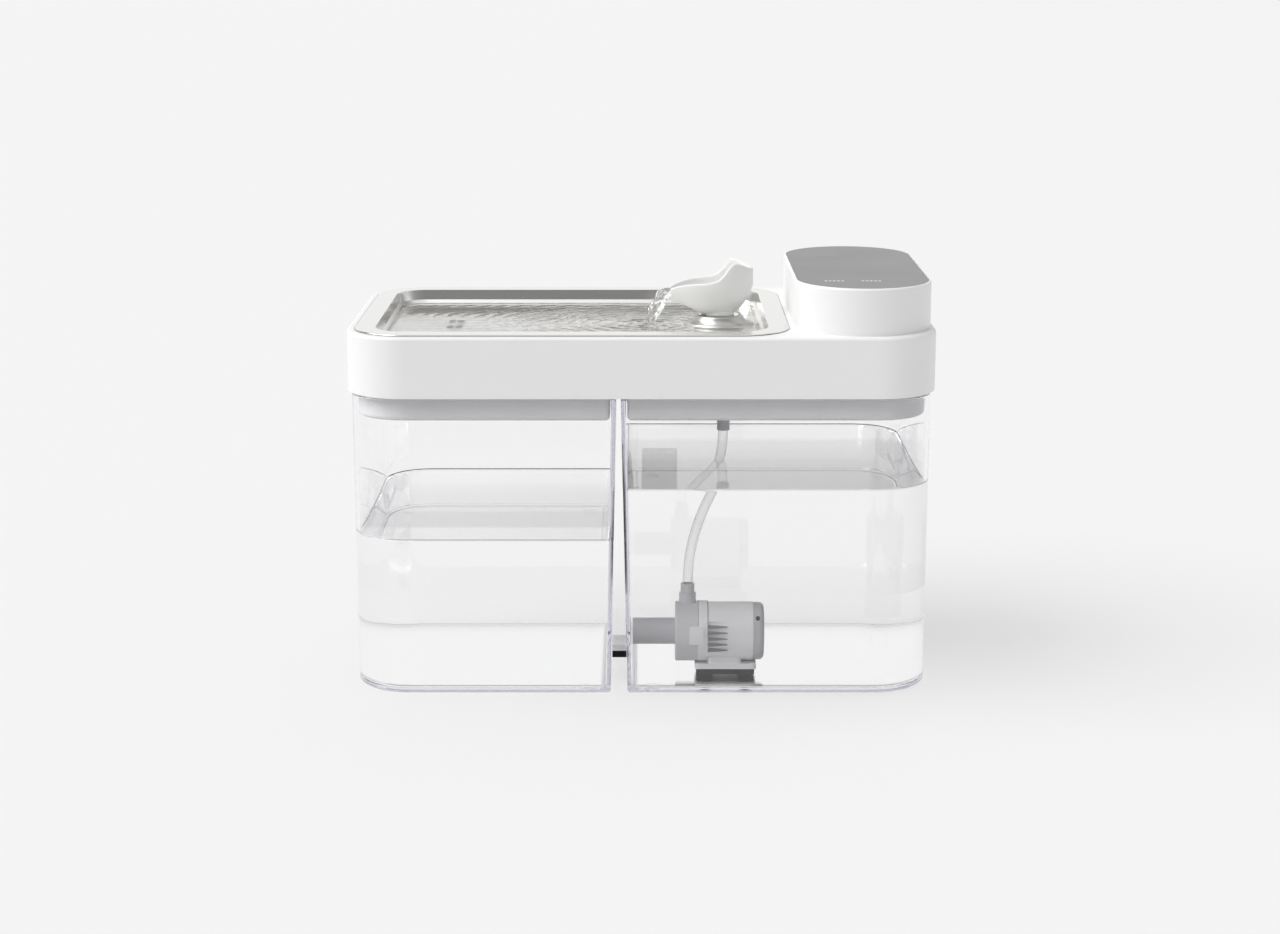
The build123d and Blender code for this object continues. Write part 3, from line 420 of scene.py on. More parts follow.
# Painted shade on the two tanks' water tops: grey 0.36 on the left, darker 0.1 on the right.
def left_water(finish, colours):
    return shaded_water(finish, colours, 0.36, LEFT_WATER_PAINTED_SHADE)


def right_water(finish, colours):
    return shaded_water(finish, colours, 0.1, RIGHT_WATER_PAINTED_SHADE)


def pad_clear(finish, colours):
    """Soft clear feet: nearly all of the light passes straight on."""
    skin = finish.node("BsdfPrincipled", sockets={
        "Base Color": (*colours.clear, 1.0), "Roughness": finish.noise(60.0) * 0.1 + 0.3, "IOR": 1.42})
    return finish.done(finish.mixed(0.14, finish.straight(WATER_SHADOW), skin))


def hose_clear(finish, colours):
    """Clear silicone: milky at the edges, where the wall is seen end on, and clear in the middle."""
    rim = finish.along(0.3)
    cloud = finish.noise(90.0)
    skin = finish.node("BsdfPrincipled", sockets={
        "Base Color": finish.between(cloud, (0.93, 0.93, 0.94), (0.98, 0.98, 0.985)),
        "Roughness": 0.16, "IOR": 1.4})
    milk = finish.node("BsdfTranslucent", sockets={"Color": (1.0, 1.0, 1.0, 1.0)})
    body = finish.mixed(0.5, skin, milk)
    return finish.done(finish.mixed(rim * 0.55 + 0.1, finish.straight(WATER_SHADOW), body))


def lens_clear(finish, colours):
    smoke = finish.noise(300.0)
    return finish.solid({
        "Base Color": finish.between(smoke, (0.03, 0.03, 0.035), (0.06, 0.06, 0.07)), "Roughness": 0.08})


# Painted shade: the boss is the tray's steel made darker, at 0.58 of its colour, so that its reflections look
# dimmer.
def boss_steel(finish, colours):
    return finish.done(finish.metal(tuple(0.58 * part for part in colours.steel), 0.34))


def filter_cotton(finish, colours):
    fibres = finish.noise(1400.0, 6.0, (1.0, 0.3, 1.0))
    return finish.solid({
        "Base Color": finish.between(fibres, (0.62, 0.61, 0.58), (0.86, 0.855, 0.84)), "Roughness": 0.95,
        "Normal": finish.bump(fibres, 0.0006)})


def filter_carbon(finish, colours):
    grains = finish.node("TexVoronoi", sockets={"Vector": finish.place(), "Scale": 700.0})
    return finish.solid({
        "Base Color": finish.between(grains, (0.05, 0.05, 0.052), (0.012, 0.012, 0.013)), "Roughness": 0.8,
        "Normal": finish.bump(1.0 - grains, 0.0005)})


def board_green(finish, colours):
    traces = finish.node("TexBrick", {"offset": 0.5}, {
        "Vector": finish.place(), "Color1": (0.018, 0.10, 0.045, 1.0), "Color2": (0.022, 0.12, 0.055, 1.0),
        "Mortar": (0.05, 0.20, 0.10, 1.0), "Scale": 160.0, "Mortar Size": 0.03})
    return finish.solid({"Base Color": traces, "Roughness": finish.noise(120.0) * 0.1 + 0.25})


def core_steel(finish, colours):
    """Stack of thin sheets: fine lines across the pump's axis."""
    sheets = finish.node("TexWave", {"bands_direction": "Y"}, {"Vector": finish.place(), "Scale": 320.0})
    return finish.solid({
        "Base Color": finish.between(sheets, (0.22, 0.22, 0.23), (0.36, 0.36, 0.37)), "Metallic": 1.0,
        "Roughness": 0.45, "Normal": finish.bump(sheets, 0.0001)})


def coil_copper(finish, colours):
    """Wound wire: fine round ridges."""
    wire = finish.node("TexWave", {"bands_direction": "Z"}, {"Vector": finish.place(), "Scale": 600.0})
    return finish.solid({
        "Base Color": finish.between(wire, (0.30, 0.11, 0.05), (0.68, 0.32, 0.16)), "Metallic": 1.0,
        "Roughness": 0.3, "Normal": finish.bump(wire, 0.0002)})


def plain(kind, colour, roughness, **more):
    """Maker of a finish that is one plastic or metal, whose colour is given or is named in the settings."""
    def make(finish, colours):
        tone = tuple(getattr(colours, colour)) if isinstance(colour, str) else colour
        return finish.done(getattr(finish, kind)(tone, roughness, **more))
    return make


ROLLED = (0.06, 1.0, 1.0)
SLOT_FINISHES = {
    "shell_white": plain("plastic", "shell", 0.40, shade=0.012),
    "spout_white": plain("plastic", "spout", 0.46, grain=1800.0, shade=0.015),
    "collar_grey": plain("plastic", "collar", 0.5),
    "link_grey": plain("plastic", (0.78, 0.78, 0.79), 0.5),
    "rubber_black": plain("plastic", (0.012, 0.012, 0.013), 0.6, grain=4000.0, shade=0.2, IOR=1.25),
    "seal_silicone": plain("plastic", (0.55, 0.55, 0.60), 0.55),
    "screw_steel": plain("metal", (0.56, 0.55, 0.54), 0.3),
    "tray_steel": plain("metal", "steel", 0.16, stretch=ROLLED),
    "step_steel": plain("metal", "steel", 0.3, stretch=ROLLED),
    "filter_white": plain("plastic", (0.72, 0.72, 0.71), 0.5),
    "panel_grey": plain("plastic", "panel", 0.3, grain=3500.0, IOR=1.35),
    "contact_rubber": plain("plastic", (0.09, 0.09, 0.095), 0.65, grain=4000.0),
    "pump_grey": plain("plastic", "pump", 0.45, shade=0.04),
    "pump_middle": plain("plastic", "pump_middle", 0.45, shade=0.04),
    "pump_dark": plain("plastic", "pump_dark", 0.45, shade=0.05),
    "magnet_grey": plain("metal", (0.16, 0.16, 0.165), 0.5),
    "shaft_ceramic": plain("plastic", (0.78, 0.77, 0.74), 0.2, grain=5000.0),
    "groove_grey": plain("plastic", (0.22, 0.22, 0.225), 0.6),
    "mark_white": plain("plastic", (0.64, 0.64, 0.64), 0.5),
} | {make.__name__: make for make in (
    tank_clear, pad_clear, boss_steel, filter_cotton, filter_carbon, board_green, hose_clear, core_steel,
    coil_copper, lens_clear, water_clear, left_water, right_water)}


def look(name):
    """The material of a finish, made when it is first asked for. The solids come with plain materials that
    are named by slot."""
    known = "look_" + name
    return bpy.data.materials.get(known) or SLOT_FINISHES[name](
        Finish(known), bpy.context.scene.fountain_colours)


# -------------------- meshes from arrays
def grid_faces(rows, columns, wrap):
    """Quads between neighbouring points of a grid; where it wraps, the last column meets the first."""
    row = np.arange(rows - 1)[:, None]
    column = np.arange(columns if wrap else columns - 1)[None, :]
    after = (column + 1) % columns
    corners = (row * columns + column, row * columns + after,
               (row + 1) * columns + after, (row + 1) * columns + column)
    return np.stack(np.broadcast_arrays(*corners), -1).reshape(-1, 4)


def placed(name, data):
    """New object in the scene."""
    made = bpy.data.objects.new(name, data)
    bpy.context.scene.collection.objects.link(made)
    return made


def piece(name, skin, material, body, smooth=True):
    """Mesh object at the origin from a skin, which is points in millimetres and faces, riding on a body."""
    points, faces = skin
    mesh = bpy.data.meshes.new(name)
    mesh.from_pydata((np.asarray(points).reshape(-1, 3) * MM).tolist(), [], faces)
    mesh.polygons.foreach_set("use_smooth", np.full(len(mesh.polygons), smooth))
    mesh.materials.append(material)
    mesh.validate()
    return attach(placed(name, mesh), body)


def lidded(loops):
    """Points and faces of a closed skin: loops of points joined in turn, with a flat lid on both ends."""
    rows, columns = loops.shape[:2]
    faces = grid_faces(rows, columns, True).tolist()
    faces.append(list(range(columns))[::-1])
    faces.append(list(range((rows - 1) * columns, rows * columns)))
    return loops, faces


def round_corners(left, right, half_width, radii, steps, beside=1.0):
    """Loop round a rectangle in plan, counterclockwise from its low corner: a quarter circle at each corner,
    whose centre lies its radius in from both sides, and a point on the straight a little beside each of its
    ends. Radii are given at left and at right."""
    turn = np.linspace(0.0, math.pi / 2, steps)
    near, far = radii
    centres = ((left + near, -half_width + near, near), (right - far, -half_width + far, far),
               (right - far, half_width - far, far), (left + near, half_width - near, near))
    loops = []
    for quarter, (x, y, radius) in enumerate(centres):
        angle = turn + math.pi + quarter * math.pi / 2
        arc = np.stack([x + radius * np.cos(angle), y + radius * np.sin(angle)], -1)
        ahead = beside * np.stack([-np.sin(angle[[0, -1]]), np.cos(angle[[0, -1]])], -1)
        loops += [arc[:1] - ahead[:1], arc, arc[-1:] + ahead[1:]]
    return np.concatenate(loops)


def at_level(plan, level):
    """Loop in plan, lifted to a level."""
    return np.column_stack([plan, np.full(len(plan), level)])


def stacked(plan, low, high):
    """Upright plate from a loop in plan between two levels."""
    return lidded(np.stack([at_level(plan, low), at_level(plan, high)]))


def ring(loops):
    """Points and faces of a closed ring: loops of points joined in turn, and the last one to the first."""
    rows, columns = loops.shape[:2]
    return loops, (grid_faces(rows + 1, columns, True) % (rows * columns)).tolist()


def joined(parts):
    """Points and faces of several skins as one."""
    points, faces, base = [], [], 0
    for part, skin in parts:
        part = np.asarray(part).reshape(-1, 3)
        points.append(part)
        faces += [[base + corner for corner in face] for face in skin]
        base += len(part)
    return np.concatenate(points), faces


def boss_ring(profile, columns=64):
    """Turned ring: a closed profile of (radius, level) carried round the boss's axis."""
    angle = np.linspace(0.0, 2.0 * math.pi, columns, endpoint=False)
    radius, level = (np.array(part)[:, None] for part in zip(*profile))
    return ring(np.stack([BOSS_X + radius * np.cos(angle), radius * np.sin(angle),
                          np.broadcast_to(level, (len(radius), columns))], -1))


def housing_ring(profile):
    """Turned ring: a closed profile of (x, radius) carried round the motor housing's axis."""
    angle = np.linspace(0.0, 2.0 * math.pi, 72, endpoint=False)
    x, radius = (np.array(part)[:, None] for part in zip(*profile))
    y, z = HOUSING_AXIS
    points, faces = ring(np.stack([np.broadcast_to(x, (len(x), len(angle))), y + radius * np.cos(angle),
                                   z + radius * np.sin(angle)], -1))
    return points, [face[::-1] for face in faces]


def smooth_through(x, knots, values):
    """Cubic curve through the knots, whose slope at each knot is that of its two neighbours."""
    slope = np.gradient(values, knots)
    at = np.clip(np.searchsorted(knots, x, side="right") - 1, 0, len(knots) - 2)
    step = knots[at + 1] - knots[at]
    t = (x - knots[at]) / step
    rise = values[at + 1] - values[at]
    ease = t * t * (3.0 - 2.0 * t)
    return values[at] + rise * ease + step * t * (1.0 - t) * ((1.0 - t) * slope[at] - t * slope[at + 1])


# -------------------- tanks
# A bend of a quarter turn, as shares of its radius: one falls from 1 to 0, the other rises from 0 to 1.
FALLING, RISING = (1.0 - part(np.linspace(0.0, math.pi / 2, 10)) for part in (np.sin, np.cos))


def tank_loop(side, level, inset):
    """Loop of a tank at a level, drawn in by the inset: straight sides and round corners, with the facing
    side moved by half of the wedge-shaped gap at that level."""
    gap = GAP_AT_BOTTOM + (GAP_AT_TOP - GAP_AT_BOTTOM) * (level - TANK_BOTTOM) / TANK_HEIGHT
    facing = GAP_X + side * (gap / 2 + inset)
    outer = side * (TANK_X - inset)
    radii = [TANK_CORNER - inset, max(FACING_CORNER - inset, 0.5)]
    low, high = min(facing, outer), max(facing, outer)
    return at_level(round_corners(low, high, TANK_Y - inset, radii[::-side], CORNER_STEPS), level)


def tank_skin(side):
    """Clear tank as one closed skin: its outline is carried along a profile that runs under the floor, round
    the outer edge, up the wall, over the round rim, down the inside, round the inner edge and onto the floor.
    A loop beside each bend keeps the flat parts flat."""
    half = np.linspace(0.0, math.pi, 9)
    edge, rim, top = TANK_EDGE + TANK_WALL, TANK_WALL / 2, TANK_BOTTOM + TANK_HEIGHT
    under = TANK_UNDER_EDGE
    profile = [(edge + LID_INSET, TANK_BOTTOM), (under + 1.0, TANK_BOTTOM)]
    profile += zip(under * FALLING, TANK_BOTTOM + under * RISING)
    profile += [(0.0, TANK_BOTTOM + under + 0.5), (0.0, top - rim - 1.0)]
    profile += zip(rim * (1.0 - np.cos(half)), top - rim + rim * np.sin(half))
    profile += [(TANK_WALL, top - rim - 1.0), (TANK_WALL, TANK_FLOOR + TANK_EDGE + 1.0)]
    profile += zip(TANK_WALL + TANK_EDGE * RISING, TANK_FLOOR + TANK_EDGE * FALLING)
    profile += [(edge + 1.0, TANK_FLOOR), (edge + LID_INSET, TANK_FLOOR)]
    return lidded(np.stack([tank_loop(side, level, inset) for inset, level in profile]))


# -------------------- water
def tank_water(side, level, water):
    """Body of water in a tank: it follows the round floor edge and the walls up to its level, and its surface
    climbs the walls by climb * exp(-distance / reach)."""
    over = water.overlap / MM
    climb, reach = water.climb / MM, water.climb_reach / MM
    wall, floor, edge = TANK_WALL - over, TANK_FLOOR - over, TANK_EDGE + over
    profile = [(wall + edge + 1.0, floor)]
    profile += zip(wall + edge * FALLING, floor + edge * RISING)
    profile += [(wall, floor + edge + 1.0), (wall, level / MM - 0.5)]
    away = np.array(CLIMB_STEPS)
    profile += zip(wall + away, level / MM + climb * np.exp(-away / reach))
    return lidded(np.stack([tank_loop(side, high, inset) for inset, high in profile]))


def ripples(x, y, landing, water):
    """Height of the tray's water: rings that fade from the landing, sin(2 pi r / length) * exp(-r / reach),
    bent by long slow swells, with crossing small waves whose height fades the same way but slower."""
    random = np.random.default_rng(7)
    length, reach, height = (value / MM for value in (water.ripple_length, water.ripple_reach, water.ripple))
    away = np.hypot((x - landing[0]) / 1.25, y - landing[1])
    swell = np.zeros_like(x)
    chop = np.zeros_like(x)
    for _ in range(18):
        angle = random.uniform(0.0, 2.0 * math.pi)
        phase = random.uniform(0.0, 2.0 * math.pi)
        along = x * math.cos(angle) + y * math.sin(angle)
        swell += np.sin(2.0 * math.pi * along / random.uniform(24.0, 60.0) + phase)
        chop += np.sin(2.0 * math.pi * along / random.uniform(4.0, 11.0) + 0.5 * swell + phase)
    rings = np.sin(2.0 * math.pi * (away + 0.35 * swell) / length) * np.exp(-away / reach)
    near = np.exp(-away / (1.1 * reach))
    far = np.exp(-away / (4.0 * reach))
    return height * (rings + 0.07 * chop * near + 0.05 * swell * far)


def tray_water(water, landing):
    """Film in the basin: rows run from front to back, and each row's ends lie on the rounded outline. Its top
    is the ripples plus a climb at walls and boss, calmer at both and behind the boss, and its skirt goes down
    into the steel."""
    level = water.tray_level / MM
    rise = (RIM_TOP - level) / BASIN_DEPTH
    inset = RIM_WIDTH + BASIN_TAPER * rise - water.overlap / MM
    half, corner = TRAY_HALF_WIDTH - inset, RIM_CORNER - inset
    left, right = TRAY_LEFT + inset, TRAY_RIGHT - inset
    rows, columns = 230, 320
    even = np.linspace(-half, half, rows)[:, None]
    y = 0.75 * even + 0.25 * (half * np.sin(np.linspace(-math.pi / 2, math.pi / 2, rows))[:, None])
    into = np.clip(np.abs(y) - (half - corner), 0.0, corner)
    cut = corner - np.sqrt(np.maximum(corner ** 2 - into ** 2, 0.0))
    x = left + cut + (right - left - 2.0 * cut) * np.linspace(0.0, 1.0, columns)[None, :]
    y = np.broadcast_to(y, x.shape)
    to_wall = np.minimum(np.minimum(x - left - cut, right - cut - x), half - np.abs(y))
    to_boss = np.maximum(np.hypot(x - BOSS_X, y) - BOSS_AT_WATER, 0.0)
    climb, reach = water.climb / MM, water.climb_reach / MM
    calm = 1.0 - np.exp(-np.minimum(to_wall / reach, to_boss / 9.0))
    calm = calm * (0.2 + 0.8 / (1.0 + np.exp((x - BOSS_X + 12.0) / 6.0)))
    top = level + ripples(x, y, landing, water) * calm
    top = top + climb * (0.25 * np.exp(-to_wall / reach) + 0.6 * np.exp(-to_boss / reach))
    points = np.stack([x, y, top], -1)
    index = np.arange(rows * columns).reshape(rows, columns)
    border = np.concatenate([index[0, :-1], index[:-1, -1], index[-1, :0:-1], index[:0:-1, 0]])
    skirt = points.reshape(-1, 3)[border]
    skirt[:, 2] = BASIN_FLOOR - 0.3
    under = rows * columns + np.arange(len(border))
    sides = np.stack([np.roll(border, -1), border, under, np.roll(under, -1)], -1)
    faces = grid_faces(rows, columns, False).tolist() + sides.tolist() + [under[::-1].tolist()]
    return np.concatenate([points.reshape(-1, 3), skirt]), faces


def stream_skin(stream):
    """Stream: its middle runs level along the tail and then falls as a parabola, along t and down t squared.
    Round it goes an ellipse whose radii narrow with the fall, ridged by lobes that wind round it."""
    random = np.random.default_rng(3)
    lip, landing = (np.array(end) / MM for end in (stream.lip, stream.landing))
    rows, columns = 90, 40
    t = np.linspace(0.0, 1.0, rows)
    run = stream.run / MM
    share = run / (run + 1.9 * np.linalg.norm(landing - lip))
    fall = np.clip((t - share) / (1.0 - share), 0.0, 1.0)
    inside = np.clip((share - t) / share, 0.0, 1.0)
    middle = lip + (landing - lip) * np.stack([fall, fall ** 1.6, fall ** 2], -1)
    middle = middle + np.stack([run * inside, 0.0 * inside, 0.4 * inside], -1)
    along = np.gradient(middle, axis=0)
    along /= np.linalg.norm(along, axis=1)[:, None]
    across = np.cross([0.0, 1.0, 0.0], along)
    across /= np.linalg.norm(across, axis=1)[:, None]
    aside = np.cross(along, across)
    angle = np.linspace(0.0, 2.0 * math.pi, columns, endpoint=False)[None, :]
    fallen = fall[:, None]
    start = np.sqrt(np.clip(t / 0.04, 0.02, 1.0))[:, None]
    wide = stream.width / MM * (1.0 - 0.42 * fallen) * start
    thick = stream.thickness / MM * (1.0 + 0.7 * np.sin(math.pi * fallen) + 0.25 * fallen) * start
    lobes = np.zeros((rows, columns))
    for count in (2, 3, 4, 6, 8):
        wind, wave = random.uniform(-10.0, 10.0), random.uniform(11.0, 26.0)
        phase, other = random.uniform(0.0, 2.0 * math.pi, 2)
        twist = np.cos(count * angle + wind * t[:, None] + phase)
        lobes += twist * np.cos(wave * t[:, None] + other) / count ** 0.7
    swollen = 1.0 + 0.34 * lobes * (0.25 + 0.75 * fallen)
    splash = 1.0 + 0.5 * np.clip((fallen - 0.9) / 0.1, 0.0, 1.0) ** 2
    loops = middle[:, None] + aside[:, None] * (wide * np.cos(angle) * swollen * splash)[..., None] \
        + across[:, None] * (thick * np.sin(angle) * swollen * splash)[..., None]
    return lidded(loops[:, ::-1])


# -------------------- bird
# Sections of the scoop from tail to beak: (x from the boss's axis, half width, underside, rim), the two
# levels from the spout's foot.
BIRD_SECTIONS = (
    (-28.8, 5.4, 8.8, 16.0),
    (-25.4, 7.2, 8.7, 17.4),
    (-21.0, 9.6, 7.6, 18.8),
    (-15.5, 12.0, 4.8, 19.7),
    (-9.5, 13.6, 1.6, 20.3),
    (-4.0, 14.1, 0.3, 21.2),
    (0.0, 14.1, 0.1, 23.0),
    (3.4, 13.9, 0.4, 26.9),
    (6.0, 13.3, 1.3, 30.6),
    (8.6, 12.3, 2.8, 32.1),
    (11.8, 10.1, 5.4, 31.3),
    (14.8, 7.1, 9.1, 29.6),
    (16.9, 4.3, 12.9, 28.6),
    (18.2, 1.7, 16.7, 28.1),
    (18.6, 0.0, 18.4, 28.0),
)
SPOUT_FOOT = 210.3
# The hub that the bird turns on, as (radius, level above the spout's foot).
HUB_PROFILE = ((9.3, 0.1), (9.3, 8.7), (3.2, 8.7), (3.2, 7.2), (7.3, 7.2), (7.3, 0.1))
BIRD_WALL = 1.9


def bird_shell():
    """Outer skin of the bird: half ellipses across the body from rim to rim, whose width, underside and rim
    run smoothly through the sections, from the open tail to the bow under the beak where both sides meet."""
    table = np.array(BIRD_SECTIONS)
    x = np.interp(np.linspace(0.0, 1.0, 44), np.linspace(0.0, 1.0, len(table)), table[:, 0])
    wide, low, rim = (smooth_through(x, table[:, 0], table[:, column]) for column in (1, 2, 3))
    wide = np.maximum(wide, 0.0)
    wide[-1] = 0.0
    angle = np.linspace(math.pi, 2.0 * math.pi, 25)
    across = wide[:, None] * np.cos(angle)
    height = rim[:, None] + (rim - low)[:, None] * np.sin(angle)
    along = np.broadcast_to(x[:, None], across.shape)
    points = np.stack([along + BOSS_X, across, height + SPOUT_FOOT], -1)
    return points, grid_faces(*across.shape, False)[:, ::-1].tolist()


# -------------------- details of the tray and the pump
# The boss's satin cone, as (radius, level), with close pairs of points beside its edges.
BOSS_PROFILE = (
    (12.2, 199.85), (12.2, 209.9), (12.3, 210.05), (13.9, 210.05), (14.2, 209.8), (14.6, 209.0),
    (15.2, 207.8), (16.1, 206.6), (17.3, 205.5), (18.6, 204.6), (20.0, 203.4), (20.9, 202.2),
    (21.3, 200.9), (21.4, 200.0), (21.3, 199.85),
)


def groove_skin(level):
    """Thin dark wedge that hugs the housing, a painted shade of a groove: it narrows from the ring to its
    end, with (1 - taper * t) ** 0.7, and its inner side lies under the housing's skin."""
    t = np.linspace(0.0, 1.0, 12)[:, None]
    half = GROOVE_HALF_WIDTH * (1.0 - GROOVE_TAPER * t) ** 0.7
    along = RING_RIGHT + (GROOVE_RIGHT - RING_RIGHT) * t
    aside = np.linspace(-1.0, 1.0, 7)[None, :]
    high = level + half * aside - HOUSING_AXIS[1]
    loops = []
    for radius, order in ((HOUSING_RADIUS + 0.12, 1), (HOUSING_RADIUS - 0.4, -1)):
        away = np.sqrt(radius ** 2 - high ** 2)
        part = [np.broadcast_to(along, high.shape), HOUSING_AXIS[0] - away, high + HOUSING_AXIS[1]]
        loops.append(np.stack(part, -1)[:, ::order])
    return lidded(np.concatenate(loops, axis=1)[:, ::-1])


def tray_band(profile):
    """Band round the tray: a closed profile of (inset of the rim's outline, level)."""
    loops = []
    for inset, level in profile:
        plan = round_corners(TRAY_LEFT + inset, TRAY_RIGHT - inset, TRAY_HALF_WIDTH - inset,
                             (RIM_CORNER - inset,) * 2, CORNER_STEPS)
        loops.append(at_level(plan, level))
    return ring(np.stack(loops))


def wall_step():
    """Pressed step round the basin at the water line: a slope from the wall down into the water, whose back
    lies in the wall."""
    wall = RIM_WIDTH + BASIN_TAPER * (RIM_TOP - STEP_TOP) / BASIN_DEPTH
    return tray_band(((wall - 0.2, STEP_TOP), (wall + 0.1, STEP_TOP),
                      (wall + STEP_WIDTH, STEP_FOOT), (wall - 0.2, STEP_FOOT)))


# -------------------- operators
class PieceOperator:
    """What the fountain's operators share."""
    bl_options = {"REGISTER", "UNDO"}


class FOUNTAIN_OT_studio(PieceOperator, bpy.types.Operator):
    """Sets the camera, the floor, the sky and the lamps"""
    bl_idname = "fountain.studio"
    bl_label = "Studio"

    def execute(self, context):
        studio = context.scene.fountain_studio
        self.camera(context, studio)
        self.floor(studio)
        self.sky(context, studio)
        self.key(studio)
        context.scene.view_settings.view_transform = "Standard"
        self.light_paths(context.scene.cycles)
        return {"FINISHED"}

    @staticmethod
    def camera(context, studio):
        """Camera that looks along +Y and down by the pitch."""
        camera = placed("Camera", bpy.data.cameras.new("Camera"))
        camera.data.lens = studio.lens
        camera.data.clip_end = 100.0
        camera.location = studio.eye
        camera.rotation_euler = (math.pi / 2 - studio.pitch, 0.0, 0.0)
        context.scene.camera = camera

    @staticmethod
    def floor(studio):
        """Wide flat floor. It is partly its own colour for the camera, so that its shadows stay soft, and
        that colour is a little brighter on the left, a painted pool of the lamp's light.
        """
        reach = studio.floor_size
        finish = Finish("floor_white")
        colour = tuple(studio.floor_colour)
        # Painted light: the floor's own colour grows brighter towards the left, where the lamp is.
        across = finish.node("TexGradient", sockets={"Vector": finish.place((0.25, 0.25, 0.25))})
        tone = finish.between(across * 1.0 + 0.5, tuple(1.04 * part for part in colour), colour)
        matte = finish.node("BsdfDiffuse", sockets={"Color": (*colour, 1.0)})
        plain = finish.node("Emission", sockets={"Color": tone})
        camera, glossy, clear = (finish.node("LightPath", output=ray) for ray in (0, 3, 6))
        share = finish.clamped("ADD", camera, glossy) * studio.floor_plain + clear * 0.15
        corners = [(-reach, -reach, 0.0), (reach, -reach, 0.0), (reach, reach, 0.0), (-reach, reach, 0.0)]
        mesh = bpy.data.meshes.new("floor")
        mesh.from_pydata(corners, [], [(0, 1, 2, 3)])
        mesh.materials.append(finish.done(finish.mixed(share, matte, plain)))
        floor = placed("floor", mesh)

    @staticmethod
    def sky(context, studio):
        """Soft light from all round, dimmer low down on the camera's side, and white for the camera."""
        world = bpy.data.worlds.new("studio")
        nodes = Nodes(world)
        camera, glossy, clear = (nodes.node("LightPath", output=ray) for ray in (0, 3, 6))
        way = nodes.node("TexCoord", output=0)
        front, up = (nodes.node("SeparateXYZ", sockets={0: way}, output=axis) for axis in (1, 2))
        facing = nodes.clamped("SUBTRACT", 0.4, front * 0.6)
        low = nodes.clamped("SUBTRACT", 1.0, up * 1.2)
        dim = 1.0 - facing * low * (1.0 - clear * 0.7) * studio.dim
        dim = dim * (1.0 - glossy * low * (0.25 - front * 0.3))
        bands = nodes.node("ValToRGB", {"stops": SKY_BANDS}, {0: up})
        dim = dim * (1.0 - glossy * (1.0 - bands))
        mirrored = nodes.clamped("ADD", glossy, clear)
        level = (mirrored * (0.93 - studio.sky) + studio.sky) * dim
        light = nodes.node("Background", sockets={
            "Color": (1.0, 1.0, 1.0, 1.0), "Strength": level * (1.0 - camera) + camera})
        nodes.finish("World", Surface=light)
        context.scene.world = world

    @staticmethod
    def key(studio):
        """Wide soft sun from the upper left."""
        sun = placed("Key", bpy.data.lights.new("Key", "SUN"))
        sun.data.energy = studio.key
        sun.data.angle = studio.key_angle
        direction = sun.location.copy()
        direction[:] = studio.key_from
        sun.rotation_euler = direction.to_track_quat("Z", "Y").to_euler()

    @staticmethod
    def light_paths(cycles):
        """Enough bounces for light that crosses tank, water and hose, or runs along a wall."""
        cycles.max_bounces = LIGHT_BOUNCES
        cycles.transmission_bounces = LIGHT_BOUNCES
        cycles.transparent_max_bounces = LIGHT_BOUNCES
        cycles.glossy_bounces = LIGHT_BOUNCES


class FOUNTAIN_OT_hose(PieceOperator, bpy.types.Operator):
    """Lays the clear hose from the deck's fitting down to the pump's outlet"""
    bl_idname = "fountain.hose"
    bl_label = "Hose"

    def execute(self, context):
        hose = context.scene.fountain_hose
        curve = bpy.data.curves.new("hose_tube", "CURVE")
        curve.dimensions = "3D"
        spline = curve.splines.new("NURBS")
        spline.points.add(len(HOSE_ROUTE) - 1)
        route = np.column_stack([np.array(HOSE_ROUTE) * MM, np.ones(len(HOSE_ROUTE))])
        spline.points.foreach_set("co", route.ravel())
        spline.order_u = 3
        spline.use_endpoint_u = True
        spline.resolution_u = 16
        curve.bevel_depth = hose.diameter / 2
        curve.bevel_resolution = 8
        curve.use_fill_caps = True
        curve.materials.append(look("hose_clear"))
        tube = placed("hose_tube", curve)
        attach(tube, "deck")
        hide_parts("hose")
        return {"FINISHED"}


class FOUNTAIN_OT_finishes(PieceOperator, bpy.types.Operator):
    """Gives every solid the finish of its slot"""
    bl_idname = "fountain.finishes"
    bl_label = "Finishes"

    def execute(self, context):
        for row in frame["record"]["subparts"]:
            mesh = frame["nodes"][row["node"]].data
            mesh.materials.clear()
            finish = "pump_middle" if row["node"] == "pump_volute" else row["material_slot"]
            mesh.materials.append(look(finish))
        return {"FINISHED"}


class FOUNTAIN_OT_tanks(PieceOperator, bpy.types.Operator):
    """Moulds both clear tanks"""
    bl_idname = "fountain.tanks"
    bl_label = "Tanks"

    def execute(self, context):
        for side, body in ((-1, "left_tank"), (1, "right_tank")):
            shell = piece(body + "_shell", tank_skin(side), look("tank_clear"), body)
            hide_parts(body)
        return {"FINISHED"}


class FOUNTAIN_OT_bird(PieceOperator, bpy.types.Operator):
    """Shapes the bird spout and the hub that it turns on"""
    bl_idname = "fountain.bird"
    bl_label = "Bird spout"

    def execute(self, context):
        white = look("spout_white")
        shell = piece("bird_shell", bird_shell(), white, "spout")
        self.merge(shell.data)
        wall = shell.modifiers.new("Wall", "SOLIDIFY")
        wall.thickness = BIRD_WALL * MM
        wall.offset = -1.0
        wall.use_even_offset = True
        wall.use_quality_normals = True
        smooth = shell.modifiers.new("Smooth", "SUBSURF")
        smooth.levels = smooth.render_levels = 2
        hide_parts("bird_spout")
        turned = boss_ring([(radius, SPOUT_FOOT + rise) for radius, rise in HUB_PROFILE])
        hub = piece("bird_hub", turned, white, "spout", smooth=False)
        return {"FINISHED"}

    @staticmethod
    def merge(mesh):
        """Joins the two sides where they meet."""
        work = bmesh.new()
        work.from_mesh(mesh)
        bmesh.ops.remove_doubles(work, verts=work.verts, dist=0.01 * MM)
        work.to_mesh(mesh)
        work.free()


